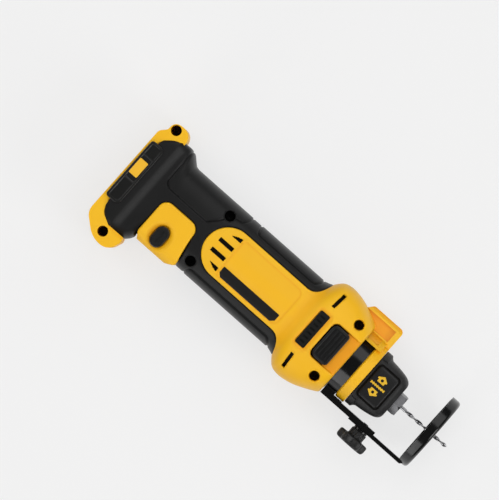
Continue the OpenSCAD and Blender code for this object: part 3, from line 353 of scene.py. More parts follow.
tongue_r, tongue_tip, head_line = 22.6, 88.5, 193.0
tongue_root = tongue_tip + tongue_r
tongue_flare = [(tongue_root, tongue_r), (178.6, tongue_r), (182.8, 23.4), (186.2, 25.6), (188.9, 28.9),
                (190.7, 32.4), (192.1, 36.2), (head_line, 39.2)]
flare_x, skin_proud, skin_wall = (188, 197), 0.3, 1.4
panel_x, label_x, label_y = 113.6, (115, 176), (-18.7, -9.3)
window_x, window_floor, pocket_floor = (199.2, 208.8), 35.2, 32.2
slot_depth, slot_half, vent_x, vent_y, vent_half, vent_long, vent_lean = 5.0, 1.85, 205.3, 32.3, 1.55, 7.3, 0.09
slot_loops = [oblong(97, 111.6, y - slot_half, y + slot_half, 0.4) for y in (5.2, -5.2)]
slot_loops += [outline([(102.6, s * 13.6, 0.2), (112.3, s * 13.6, 0.3), (112.4, s * 17.5, 0.3),
                        (108, s * 16.4, 6)][::s]) for s in (1, -1)]
slot_loops += [outline([(vent_x + u * vent_half + vent_lean * v, s * vent_y - 0.4 + s * v, 0.6)
                        for u, v in ((-1, -vent_long), (1, -vent_long), (1, vent_long), (-1, vent_long))][::s])
               for s in (1, -1)]
window_loop = oblong(*window_x, -17, 17, 1.5)
pocket_loop = oblong(214.6, 246, -17.4, 17.4, 5, 0.5)
panel_loop = oblong(panel_x, 179, -19.6, 18, 2, 6)
label_loop = outline([(118, label_y[0], 0.8), (173, label_y[0], 0.8), (label_x[1], -15.7, 0.8),
                      (label_x[1], label_y[1], 0.5), (label_x[0], label_y[1], 0.5), (label_x[0], -15.7, 0.8)])
well_r, well_floor = 4.6, 15.1
head_screws, grip_screws = [(230.7, 28.1), (230.7, -28.1)], [(91.0, 24.8), (91.0, -24.8)]


def tongue_bow(count):
    """X lines over the tongue's round end, at even angles."""
    return tongue_tip + tongue_r * (1 - np.cos(np.linspace(0, np.pi / 2, count)))


def tongue_edge(x):
    """Half width of the yellow in the plan: a round end, straight sides, then a concave flare to the body."""
    end = np.sqrt(np.maximum(tongue_r ** 2 - np.maximum(tongue_root - x, 0) ** 2, 0))
    return np.where(x < tongue_root, end, fair(x, tongue_flare))


def housing_skin(side):
    """Grid of the yellow skin: rows across X; columns on fixed Y lines in the middle and on polar angles out to
    its edge. It stands proud, rolls over at its edge and is pressed down to the floors of its recesses. Also the
    quads that stay, their finishes and how much painted shade each point takes."""
    rows = np.r_[tongue_bow(42)[:-1], lines(tongue_root, body_end, 0.72, (panel_x, *label_x, *window_x)),
                 np.arange(214.1, 220, 0.72), head_line - 4 * np.linspace(0, 1, 14) ** 2]
    x = np.unique(rows.round(3))[:, None]
    middle, edge, whole = body_section(x)[0], tongue_edge(x), x >= head_line
    y_mid = lines(-20.4, 20.4, 0.6, label_y)[::-1] * np.minimum(edge / tongue_r, 1)
    z_mid = body_height(x, y_mid)
    top_end = np.where(whole, 0, np.arctan2(body_height(x, edge), edge - middle))
    low_end = np.where(whole, np.pi, np.arctan2(body_height(x, -edge), -edge - middle))
    top_mid, low_mid = (np.arctan2(z_mid[:, k], y_mid[:, k] - middle) for k in ([0], [-1]))
    share = np.linspace(0, 1, 47)
    y_top, z_top = body_around(x, top_end + (top_mid - top_end) * share[:-1])
    y_low, z_low = body_around(x, low_mid + (low_end - low_mid) * share[1:])
    y, z = np.hstack([y_top, y_mid, y_low]), np.hstack([z_top, z_mid, z_low])
    x = np.broadcast_to(x, y.shape)
    grid = np.stack([x, y, z], -1)
    near = np.where(x < tongue_root, tongue_r - np.hypot(x - tongue_root, y), to_edge(grid))
    flat = 1 - ease(*flare_x, x)
    proud = skin_proud * flat - rolled(near, 1.1) * flat - rolled(near, 0.4) * (1 - flat)
    pressed = [(0.4, -0.2, 0.2, panel_loop), (0.4, -0.1, 0.1, label_loop), (0.9, -4, 0.2, window_loop)]
    for depth, outer, inner, loop in pressed + [(0.5, -1.8, 0.1, pocket_loop)] * (side > 0):
        proud = proud - depth * ease(outer, inner, inside(x, y, loop))
    out = body_out(grid)
    grid = flanged(grid + out * proud[..., None], grid - 2.6 * out)
    x, y, z = np.moveaxis(grid, 2, 0)
    panel, window, pocket = (inside(x, y, loop) for loop in (panel_loop, window_loop, pocket_loop))
    # Painted shade, orange: a halo round the window, a band on the slope up to the head and a line inside the panel's
    # edge.
    painted_shade = np.max([0.6 * ease(-4.5, 0, window), 0.25 * ease(178, 187, x) * (1 - ease(190, 197, x)),
                     0.4 * ease(-0.4, 0.1, panel) * (1 - 0.8 * ease(0.2, 2.2, panel))], 0)
    z = z + (window_floor - z) * ease(-0.08, 0.08, window)
    if side > 0:
        z = z + (np.minimum(z, pocket_floor) - z) * ease(-0.5, 0.5, pocket)
        # Painted shade, orange, over the lock pocket and round its rim.
        painted_shade = np.maximum(painted_shade, 0.4 * ease(-2, 0, pocket) + 0.4 * ease(-0.3, 1, pocket))
    grid[..., 2] = z
    grid = np.r_[grid, grid[-1:] * (1, 0.8, 0.8)]
    painted_shade = np.r_[painted_shade, painted_shade[-1:]]
    centre = (grid[1:, 1:] + grid[:-1, :-1]) / 2
    x, y = centre[..., 0], centre[..., 1]
    keep = np.max([inside(x, y, loop) for loop in slot_loops], 0) < -0.25
    finish = (inside(x, y, window_loop) > 0.3) * 1
    if side > 0:
        keep &= clear_of(centre, head_screws, well_r + 0.4)
        # Painted shade: near black in the rear part of the lock pocket, round the button, where its gap lies in
        # shadow.
        finish = finish + 2 * ((inside(x, y, pocket_loop) > -0.1) & (x < 229))
    return grid, keep, finish, painted_shade


for side, half in halves:
    grid, keep, finish, painted_shade = housing_skin(side)
    skin = lay("housing_skin_" + half, grid, yellow_nylon, screen_black, painted_dark_shade, side=side, keep=keep,
               second=finish, painted_shade=painted_shade, wall=skin_wall)
    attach(skin, "housing")
    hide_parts("housing_" + half)


def skin_height(x, y):
    """Height of the yellow skin over a plan point, where it is neither rolled over nor pressed in."""
    return body_height(x, y) + skin_proud * (1 - ease(*flare_x, x))


def well(name, loop, floor, height, side, *finishes):
    """Lining of a sunk hole: the loop carried down a profile that starts 0.8 mm out on the skin, turns over a
    small lip, drops to the floor and closes at the middle. A floor below zero is a depth under the skin. Wall
    and floor take the last finish."""
    reach = np.array([0.8, 0.4, 0.12, 0, 0, 0])[:, None, None]
    drop = np.array([0.12, -0.04, 0.05, 0.4, 0, 0])[:, None]
    plan = loop - inward(loop) * reach
    plan[-1] = loop.mean(0)
    z = height(plan[..., 0], plan[..., 1]) - drop
    z[-2:] = floor if floor > 0 else z[3] + floor
    z[-1] = z[-2].mean()
    lower = np.broadcast_to(np.arange(5)[:, None] > 2, (5, len(loop))) if len(finishes) > 1 else None
    grid = np.concatenate([plan, z[..., None]], 2)
    lining = lay(name, grid, *finishes, side=side, wrap=True, second=lower)
    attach(lining, "housing")
    return lining


for k, place in enumerate(head_screws):
    lining = well(f"head_screw_well_{k + 1}", circle(*place, well_r), well_floor, skin_height, 1, yellow_nylon)
for side, half in halves:
    for k, loop in enumerate(slot_loops):
        name = f"air_slot_{half}_{k + 1}"
        # The slot's lower wall and floor take the near-black painted shade.
        well(name, loop, -slot_depth, skin_height, side, yellow_nylon, painted_dark_shade)

# Battery foot and front ring: the parts of the same two mouldings behind the grip and ahead
# of the head, with the slot for the battery, the two ears and the screw wells in them.


def round_edges(piece, width):
    """Rounds the edges of a solid that turn more than 35 degrees."""
    edge = piece.modifiers.new("edge", "BEVEL")
    edge.width, edge.segments, edge.limit_method, edge.angle_limit = width / 1000, 3, "ANGLE", 0.6
    smooth = piece.modifiers.new("normal", "WEIGHTED_NORMAL")
    smooth.keep_sharp = True
    return piece


def cut_copy(name, node, planes, finish, edge):
    """The stretch of a CAD solid inside some planes, each (axis, place, sign of the side cut off): a merged copy
    of its mesh, cut, closed and rounded."""
    bm = bmesh.new()
    bm.from_mesh(cad[node].data)
    bmesh.ops.remove_doubles(bm, verts=bm.verts, dist=1e-6)
    bmesh.ops.dissolve_limit(bm, angle_limit=0.01, verts=bm.verts, edges=bm.edges)
    for axis, at, way in planes:
        normal = np.eye(3)[axis]
        bmesh.ops.bisect_plane(bm, geom=[*bm.verts, *bm.edges, *bm.faces], plane_co=normal * at / 1000,
                               plane_no=normal * way, clear_outer=True)
    bmesh.ops.holes_fill(bm, edges=bm.edges)
    mesh = bpy.data.meshes.new(name)
    bm.to_mesh(mesh)
    bm.free()
    if "custom_normal" in mesh.attributes:
        mesh.attributes.remove(mesh.attributes["custom_normal"])
    mesh.shade_smooth()
    mesh.materials.clear()
    mesh.materials.append(finish)
    return round_edges(stand(name, mesh), edge)


foot_x, neck_x, ring_x, bridge_y = 20.5, 241.9, 253.7, 25.2
for half in ("front", "rear"):
    for part, planes, finish, edge in (
            ("battery_foot_", ((0, foot_x, 1),), yellow_nylon, 0.8),
            ("upper_ear_", ((0, foot_x, -1), (0, 25.5, 1), (1, 43.4, -1)), yellow_nylon, 0.8),
            ("lower_ear_", ((0, foot_x, -1), (0, 39, 1), (1, -47.2, 1)), yellow_nylon, 0.8),
            ("neck_", ((0, neck_x, -1), (0, ring_x, 1), (1, bridge_y, 1)), yellow_nylon, 0.5),
            # The bridge over the band takes the orange painted-shade copy of the yellow.
            ("band_bridge_", ((0, neck_x, -1), (0, ring_x, 1), (1, bridge_y, -1)), yellow_painted_shade, 0.5),
            ("front_ring_", ((0, ring_x, -1),), yellow_nylon, 0.5)):
        piece = cut_copy(part + half, "housing_" + half, planes, finish, edge)
        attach(piece, "housing")

# Overmould: soft black elastomer moulded onto both halves, from the collar behind the grip
# to the flare of the head, with a grip pad and raised side pads marked by fine grooves.
# Its near-black shade colour is painted shade in the grooves and along the joint under the yellow.
black_overmould = moulded("black_overmould", 31, 25, (0.36, 0.48), 0.05, 1300, 0.2, shade_colour=10)
grip_end, far_y = 199, 70
grip_loop = outline([(33, far_y, 0.5), (33, 8.5, 6), (80, 8.5, 3), (86.5, 16, 2), (92, 25, 4), (103, 27.6, 4),
                     (107, 34, 3), (107.5, far_y, 0.5)])
side_loops = [outline([(115.5, far_y, 0.5), (116, 35, 3), (118.6, 28.7, 3), (181, 28.7, 4), (184.8, 34, 3),
                       (184.8, far_y, 0.5)]),
              outline([(92, -far_y, 0.5), (184.8, -far_y, 0.5), (184.8, -34, 3), (180.5, -29.8, 4), (95, -29.8, 3),
                       (92, -35, 3)])]
saddle_back, saddle_top, saddle_flank = 41.5, 0.6, -40.6
saddle_loop = outline([(saddle_back, saddle_flank, 3), (76, saddle_flank, 3), (84, -35.6, 2), (79, -8, 5),
                       (78.5, saddle_top, 8), (saddle_back, saddle_top, 8)])
yellow_x = np.r_[tongue_bow(24), np.linspace(112, head_line, 60)]
yellow_loop = np.r_[np.stack([yellow_x, -tongue_edge(yellow_x)], 1), [[200, -60], [250, -60], [250, 60], [200, 60]],
                    np.stack([yellow_x, tongue_edge(yellow_x)], 1)[::-1]]


def groove(d, width, depth):
    """Round-bottomed groove along a loop: depth * (1 - (d / width)^2), nothing past its width."""
    return depth * np.clip(1 - (d / width) ** 2, 0, 1)


def grip_skin(side):
    """Grid of the black skin: rows across X, columns on polar angles. It dips into a joint line and dives under
    the yellow pieces, and its pads stand proud inside their grooves. Also the quads that stay and how much
    painted shade each point takes."""
    x = np.r_[np.full(3, body_back), lines(body_back, grip_end, 0.7)][:, None]
    y, z = body_around(x, np.linspace(0, np.pi, 172))
    x = np.broadcast_to(x, y.shape)
    grid = np.stack([x, y, z], -1)
    proud = -rolled(to_edge(grid), 0.45) - rolled(x - body_back, 1.6)
    # Painted shade, near black: along the edges where the skin dives under the yellow and in the grooves round the
    # pads.
    painted_shade = np.zeros(x.shape)
    for loop, fall in ((yellow_loop, 2.0), (saddle_loop, 2.6)):
        d = inside(x, y, loop)
        proud = proud - 0.8 * ease(-1.0, -0.1, d) - fall * ease(-0.1, 2.2, d)
        painted_shade = np.maximum(painted_shade, ease(-1.3, -0.3, d))
    for loop in (grip_loop, *side_loops):
        d = inside(x, y, loop)
        proud = proud - groove(d, 0.95, 0.75) + 0.35 * ease(0, 1.5, d)
        painted_shade = np.maximum(painted_shade, groove(d, 1.1, 1))
    out = body_out(grid)
    grid = flanged(grid + out * proud[..., None], grid - 2.2 * out)
    shut = np.array([1, 0.6, 0.2])[:, None, None]
    grid[:3] = grid[3] + (grid[3] * (1, 0.86, 0.86) - grid[3]) * shut
    keep = clear_of((grid[1:, 1:] + grid[:-1, :-1]) / 2, grip_screws, well_r + 0.5) if side > 0 else None
    return grid, keep, np.pad(painted_shade, ((0, 0), (1, 1)), mode="edge")


for side, half in halves:
    grid, keep, painted_shade = grip_skin(side)
    skin = lay("overmould_skin_" + half, grid, black_overmould, side=side, keep=keep, painted_shade=painted_shade,
               wall=skin_wall)
    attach(skin, "housing")
    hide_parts("overmould_" + half)
for k, place in enumerate(grip_screws):
    lining = well(f"grip_screw_well_{k + 1}", circle(*place, well_r), well_floor, body_height, 1, black_overmould)

# Switch surround: a yellow nylon saddle clipped over the grip on each side, its flat face
# dished round the push-through button.
button_x, button_y = 58.8, -26.6
saddle_face, saddle_r, bend_r, saddle_in = 33.6, 8, 9, 3.4
saddle_front = [(-0.6, 78.6), (8, 79), (25, 81.6), (35, 83.6), (37, 83), (39, 79.8), (40.6, 76.6)]


def lift(grid, height):
    """Grid moved along its own normals, which are the cross products of its column and row differences."""
    return grid + unit(np.cross(np.gradient(grid, axis=1), np.gradient(grid, axis=0))) * height[..., None]


def saddle_skin():
    """Grid of the saddle: rows follow its section from the upper edge over the flat face, round the corner and
    down the side; columns run between its two ends, whose places depend on Y. Also the painted shade in the
    dish round the button."""
    turn = np.linspace(0, np.pi / 2, 14)
    y = np.r_[np.linspace(saddle_top, -31, 48), saddle_flank + bend_r * (1 - np.sin(turn)), np.full(24, saddle_flank)]
    z = np.r_[np.full(48, saddle_face), saddle_face - bend_r * (1 - np.cos(turn)), np.linspace(24, 0, 24)]
    along = np.r_[0, np.hypot(np.diff(y), np.diff(z)).cumsum()][:, None]
    y, z = y[:, None], z[:, None]
    fall = np.clip(saddle_top - y, 0, saddle_r)
    round_end = saddle_r - np.sqrt(saddle_r ** 2 - (saddle_r - fall) ** 2)
    left = saddle_back + round_end + 3.4 * ease(-34, -41.5, y)
    right = fair(-y, saddle_front) - round_end
    share = np.linspace(0, 1, 72)
    x = left + (right - left) * (share - 0.06 * np.sin(2 * np.pi * share))
    y, z = np.broadcast_to(y, x.shape), np.broadcast_to(z, x.shape)
    near = np.minimum(np.minimum(x - left, right - x), np.minimum(along, 0.4 + along[-1] - along))
    dish, seat = (np.hypot((x - button_x) / a, (y - button_y) / b) for a, b in ((11.4, 13.2), (6.8, 10.3)))
    front = z > 20
    sunk = np.where(front, 1.7 * (1 - ease(0.55, 1.05, dish)) + 1.6 * (1 - ease(0.97, 1.06, seat)), 0)
    grid = np.stack([x, y, z], -1)[:, ::-1]
    skin, flange = lift(grid, (-rolled(near, 1.4) - sunk)[:, ::-1]), lift(grid, np.full(x.shape, -saddle_in))
    grid = np.r_[flanged(flange[:1], flange[:1]), flanged(skin, flange)]
    # Painted shade, orange: in the dish round the button, stronger on its rear side.
    painted_shade = (1 - ease(0.5, 1.05, dish)) * (1 - 0.6 * ease(56, 68, x)) * front
    return grid, np.pad(painted_shade[:, ::-1], ((1, 0), (1, 1)), mode="edge")


for side, half in halves:
    grid, painted_shade = saddle_skin()
    piece = lay("switch_saddle_" + half, grid, yellow_nylon, side=side, painted_shade=painted_shade, wall=1.2)
    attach(piece, "housing")
    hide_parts("switch_surround_" + half)

# Switch button: one black nylon bar that pushes through from side to side, with an oval
# pad at each end and a slimmer stem between them.
black_plastic = moulded("black_plastic", 24, 19, (0.34, 0.46), 0.03, 2200, 0.45)


def stacked(name, loop, profile, finish, centre):
    """Closed body of a plan loop carried up a profile of (inset, z): each ring is the loop moved in along its own
    normals, and the two ends close at the centre."""
    inset, z = np.array(profile, float).T[..., None]
    plan = loop + inward(loop) * inset[..., None]
    grid = np.concatenate([plan, np.broadcast_to(z, plan.shape[:2])[..., None]], 2)
    foot, crown = grid[:1].copy(), grid[-1:].copy()
    foot[..., :2] = crown[..., :2] = centre
    return lay(name, np.r_[foot, grid, crown], finish, wrap=True, flip=z[0, 0] < z[-1, 0])


button_loop = oblong(52.55, 65.05, -36.35, -16.85, 6.2, arc=12)
button_profile = [(4, -31.2), (2, -31.6), (0.7, -31.3), (0.2, -30.6), (0, -29.4), (0, -23), (1.6, -22.9),
                  (1.6, 22.9), (0, 23), (0, 33.2), (0.2, 34.6), (0.7, 35.3), (1.6, 35.6), (2.6, 35.5), (4, 35.2)]
button = stacked("switch_pad", button_loop, button_profile, black_plastic, (button_x, button_y))
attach(button, "switch")
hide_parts("switch_button")

# Badge slabs: a black nylon plate set into each flank of the battery foot, with a bare
# yellow tile pressed into its pocket.
badge_black = moulded("badge_black", (20, 20, 19), (16, 16, 15), (0.3, 0.42), 0.03, 1500, 0.5)
tile_yellow = moulded("tile_yellow", (244, 187, 30), (240, 180, 22), (0.3, 0.42), 0.02)
slab_back, slab_front, slab_y, slab_radii = 1.7, 15.5, 29.8, (3, 5)
slab_face, slab_seat, slab_lines = 38, 34, (-7.3, 16.4)
slab_loop = oblong(slab_back, slab_front, -slab_y, slab_y, *slab_radii)


def dress(name, finish, width=0.0):
    """Finish for a CAD solid that stays. With a width in millimetres its loose triangles are welded, its flat
    faces joined and its edges rounded."""
    piece = cad[name]
    piece.data.materials.clear()
    piece.data.materials.append(finish)
    if width:
        weld = piece.modifiers.new("weld", "WELD")
        weld.merge_threshold = 1e-6
        flat = piece.modifiers.new("flat", "DECIMATE")
        flat.decimate_type, flat.angle_limit = "DISSOLVE", 0.01
        round_edges(piece, width)


def slab_skin():
    """Grid of the plate: rows across its length, columns from its front to its rear edge. It has a rolled edge, a
    rim 2 mm wide, a sunk middle with two fine grooves across, and a skirt down to its seat."""
    y = np.r_[-slab_y, lines(-29.7, 29.7, 0.45, slab_lines), slab_y][:, None]
    left, right = (r - np.sqrt(r ** 2 - np.clip(r - slab_y + np.abs(y), 0, r) ** 2) for r in slab_radii)
    share = 0.5 - 0.5 * np.cos(np.linspace(0, np.pi, 44))
    x = slab_back + left + (slab_front - slab_back - left - right) * share
    y = np.broadcast_to(y, x.shape)
    d = inside(x, y, slab_loop)
    lined = np.max([groove(y - line, 0.5, 0.35) for line in slab_lines], 0)
    z = slab_face - rolled(d, 0.9) - (0.5 + lined) * ease(1.8, 2.5, d)
    grid = np.pad(np.stack([x, y, z], -1), ((1, 1), (1, 1), (0, 0)), mode="edge")
    grid[[0, -1], :, 2] = grid[:, [0, -1], 2] = slab_seat
    return grid[:, ::-1]


for side, half in halves:
    slab = lay("badge_plate_" + half, slab_skin(), badge_black, side=side)
    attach(slab, "housing")
    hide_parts("badge_slab_" + half)
    dress("badge_tile_" + half, tile_yellow, 0.3)

# Label strips: a bare printed film on the tongue of each half, in a shallow pocket with its
# two lower corners cut off.
label_film = moulded("label_film", (29, 28, 27), (23, 22, 21), (0.3, 0.4), 0.012, 900, 0.4)


def label_skin():
    """Grid of the film: rows run round the cut-off outline from its edge inwards to its middle line, columns
    follow the outline, and every point lies on the floor of the pocket in the skin."""
    rim = label_loop + inward(label_loop) * np.array([0.15, 0.15, 0.3, 0.6])[:, None, None]
    axis = np.stack([np.clip(label_loop[:, 0], 120, 171), np.full(len(label_loop), sum(label_y) / 2)], 1)
    plan = np.r_[rim, rim[-1] + (axis - rim[-1]) * np.linspace(0, 1, 9)[1:, None, None]]
    above = np.r_[-0.75, -0.42, -0.3, np.full(9, -0.27)][:, None]
    z = body_height(plan[..., 0], plan[..., 1]) + above
    return np.concatenate([plan, z[..., None]], 2)


for side, half in halves:
    strip = lay("label_film_" + half, label_skin(), label_film, side=side, wrap=True)
    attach(strip, "housing")
    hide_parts("label_strip_" + half)

# Exhaust screens: a slotted black nylon plate behind the window over the fan, one in each
# half, clipped in from behind.
for half in ("front", "rear"):
    dress("exhaust_screen_" + half, screen_black, 0.25)

# Housing screws: six hexagon-socket screws in blackened steel, driven from the front half
# into bosses in the rear one.

# Drawn marks: fine lines of turning or drawing, stretched by a scale on each axis, and patches of wear.
drawn, drawn_in, drawn_out = node_group(
    "drawn_marks", (("Along", 200), ("Across", 2500), ("Wear scale", 60)), ("Marks", "Wear"))
scale, stretch = (drawn.nodes.new("ShaderNode" + kind) for kind in ("CombineXYZ", "VectorMath"))
stretch.operation = "MULTIPLY"
for label, axis in (("Along", "X"), ("Across", "Y"), ("Across", "Z")):
    wire(drawn, (drawn_in.outputs[label], scale.inputs[axis]))
wire(drawn, (drawn_in.outputs["Vector"], stretch.inputs[0]), (scale.outputs["Vector"], stretch.inputs[1]))
for label, source in (("Marks", stretch), ("Wear", drawn_in)):
    noise = drawn.nodes.new("ShaderNodeTexNoise")
    put(noise, {"Scale": 1, "Detail": 3})
    wire(drawn, (source.outputs["Vector"], noise.inputs["Vector"]),
         (noise.outputs["Fac"], drawn_out.inputs[label]))
    if label == "Wear":
        wire(drawn, (drawn_in.outputs["Wear scale"], noise.inputs["Scale"]))


def metal(name, bright, dim, rough, along=2500, across=200, depth=0.004, wear=60):
    """Bare metal: tints by the wear, roughness and bump by the drawn marks."""
    mat = surface(name, bright, dim, rough, depth, drawn, {"Along": along, "Across": across, "Wear scale": wear},
                  "Wear", "Marks")
    put(mat.node_tree.nodes["Principled BSDF"], {"Metallic": 1.0})
    return mat


screw_black = metal("screw_black", 44, 30, (0.34, 0.5), 900, 900)
dress("housing_screws", screw_black, 0.3)

# Terminal block, control module and switch body: what the battery plugs into and what the
# button works, moulded in black nylon, with tinned blades, a coated board and red leads.
board_green = moulded("board_green", (32, 84, 50), (24, 66, 40), (0.25, 0.4), 0.02, 700)
lead_red = moulded("lead_red", (176, 34, 28), (158, 26, 22), (0.3, 0.42), 0.02, 900)
blade_tin = metal("blade_tin", (196, 194, 186), (172, 170, 162), (0.2, 0.34))
dress("terminal_block", black_plastic, 0.4)
dress("terminal_blades", blade_tin, 0.15)
dress("control_module", board_green, 0.6)
dress("switch_body", black_plastic, 0.4)
dress("motor_leads", lead_red)

# Motor: a zinc-plated steel can with ferrite magnets glued in it, a nylon bell for the brass
# brush boxes, and the wound armature on its shaft.
zinc_steel = metal("zinc_steel", (150, 152, 152), (122, 124, 125), (0.3, 0.46), 300, 2200)
ferrite = moulded("ferrite", (58, 57, 56), (44, 43, 42), (0.5, 0.7), 0.03, 700)
screw_steel = metal("screw_steel", (150, 150, 148), (118, 118, 116), (0.28, 0.42), 900, 900)
brass = metal("brass", (202, 164, 92), (176, 138, 72), (0.24, 0.38))
carbon = moulded("carbon", (38, 37, 36), (26, 25, 24), (0.4, 0.6), 0.03, 1100)
core_steel = metal("core_steel", (132, 130, 126), (104, 102, 98), (0.36, 0.5), 3000, 120, 0.03)
copper = metal("copper", (196, 112, 66), (160, 82, 44), (0.26, 0.4), 2600, 160, 0.02)
dress("motor_can", zinc_steel, 0.4)
dress("motor_front_plate", zinc_steel, 0.3)
dress("motor_rear_bell", black_plastic, 0.5)
dress("field_magnets", ferrite, 0.4)
dress("brush_boxes", brass, 0.2)
dress("brushes", carbon, 0.2)
dress("brush_springs", screw_steel, 0.1)
dress("armature_core", core_steel, 0.2)
dress("armature_windings", copper, 1.2)
dress("commutator", copper, 0.2)
dress("cooling_fan", black_plastic, 0.3)

# Spindle: the ground steel shaft on two ball bearings, with the notched disc that the lock
# pin drops into, in the turned aluminium sleeve of the nose.
bearing_steel = metal("bearing_steel", (190, 191, 193), (168, 169, 171), (0.12, 0.22), 300, 2600, 0.002)
sleeve_aluminium = metal("sleeve_aluminium", (200, 202, 204), (178, 180, 182), (0.26, 0.4), 3200, 150)
dress("spindle_shaft", bearing_steel, 0.3)
dress("lock_disc", screw_steel, 0.3)
dress("rear_bearing_ring", bearing_steel, 0.3)
dress("front_bearing_ring", bearing_steel, 0.3)
dress("bearing_inner_rings", bearing_steel, 0.2)
dress("bearing_balls_set", bearing_steel)
dress("nose_sleeve", sleeve_aluminium, 0.3)
dress("collar_retainer", screw_steel, 0.2)

# Spindle lock: a ribbed black nylon button that slides down in its pocket against a steel
# spring and pushes the pin into the disc.
lock_x, coil_foot, coil_r, wire_r = 224, 25.9, 5.2, 0.5
rib_half, rib_long = 0.8, 12.8
lock_loop = oblong(215.4, 232.3, -16.3, 16.3, 5, 3.2)
lock_profile = [(2, 35.6), (0.3, 35.6), (0, 35.9), (0, 37.5), (0.25, 38), (0.8, 38.3), (1.7, 38.3), (2, 38.1),
                (2.2, 37.1)]
rib_profile = [(0, 36.9), (0, 38.2), (0.2, 38.6), (0.5, 38.7)]
cap = stacked("lock_cap", lock_loop, lock_profile, black_plastic, (lock_x, 0))
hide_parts("lock_button")
ribs = [stacked(f"lock_rib_{k + 1}", oblong(x - rib_half, x + rib_half, -rib_long, rib_long, 0.7), rib_profile,
                black_plastic, (x, 0)) for k, x in enumerate((220.6, 224.1, 227.6))]
for piece in (cap, *ribs):
    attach(piece, "lock")
dress("lock_pin", bearing_steel, 0.3)


def coil_body():
    """Grid of the spring: rows along a helix of five turns, close at both ends and open between; columns round
    the wire, which shrinks to a point at its two ends."""
    turns = np.linspace(0, 5, 241)[:, None]
    climb = fair(turns, [(0, 0), (1, 1.02), (1.4, 1.6), (3.6, 7), (4, 7.58), (5, 8.6)])
    angle, ring = 2 * np.pi * turns, np.linspace(0, 2 * np.pi, 12, endpoint=False)
    thick = np.r_[0, np.full(239, wire_r), 0][:, None]
    reach = coil_r + thick * np.cos(ring)
    return np.stack([lock_x + reach * np.cos(angle), reach * np.sin(angle),
                     coil_foot + wire_r + climb + thick * np.sin(ring)], -1)


coil = lay("lock_coil", coil_body(), screw_steel, wrap=True)
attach(coil, "housing")
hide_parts("lock_spring")
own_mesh(coil)

# Light: a yellow nylon scoop screwed to the head beside the nose, with painted shade on its low face and
# the plain yellow on its higher rim, and a clear lens over the lamp's small board.
clear_lens = moulded("clear_lens", (244, 247, 250), (238, 242, 246), (0.03, 0.07), 0.004, 300)
put(clear_lens.node_tree.nodes["Principled BSDF"], {"Transmission Weight": 1.0, "IOR": 1.58})
lamp_shaded_yellow = moulded("lamp_shaded_yellow", shade_bright, shade_dim, (0.36, 0.5), 0.03, level=0.4)
lamp = lamp_shaded_yellow.node_tree
# Painted shade: orange below 2.5 mm in Z, where the scoop lies in the head's shadow, turning to the plain yellow by
# 4.2 mm.
height, rim = (lamp.nodes.new("ShaderNode" + kind) for kind in ("SeparateXYZ", "MapRange"))
put(rim, {"From Min": 0.0025, "From Max": 0.0042})
wire(lamp, (lamp.nodes["Texture Coordinate"].outputs["Object"], height.inputs[0]),
     (height.outputs["Z"], rim.inputs["Value"]))
overlay(lamp_shaded_yellow, (247, 192, 30), rim.outputs["Result"])
dress("light_housing", lamp_shaded_yellow, 1.2)
dress("light_lens", clear_lens, 0.5)
dress("light_board", board_green, 0.1)

# Nose collar: a black nylon ring that turns on the sleeve, pinched flat front and rear, with
# a finger pad set in a groove on each flat and raised yellow marks on the front one.
collar_black = moulded("collar_black", 40, 34, (0.46, 0.58), 0.06, 1000, 0.3)
pad_black = moulded("pad_black", 25, 19, (0.38, 0.5), 0.03, 1600, 0.45)
mark_yellow = moulded("mark_yellow", (232, 186, 34), (222, 174, 26), (0.45, 0.6), 0.02)
collar_back, collar_front, bore_r, collar_power = 263.1, 294.8, 15.06, 14
pad_back, pad_front, pad_y, pad_groove = 264.9, 288.4, 17, 1.7
pad_loop = oblong(pad_back, pad_front, -pad_y, pad_y, 4)
notch_loops = [oblong(264.8, 269.2, y - 0.6, y + 0.6, 0.4) for y in (19.6, -19.6)]
collar_y = [(263, 29.5), (268.8, 29.5), (270.2, 26.8), (272.2, 24.7), (278, 23.9), (284.8, 22.7), (289, 21.6),
            (292, 20.2), (294, 18.2), (collar_front, 16.6)]
collar_z = [(263, 21.5), (288.6, 21.5), (290.4, 21.1), (292.4, 19.6), (collar_front, 16.4)]
collar_r = [(263, 28.3), (268.8, 28.3), (270.4, 27.2), (272.2, 27), (287.5, 26.8), (291, 25), (collar_front, 20.4)]


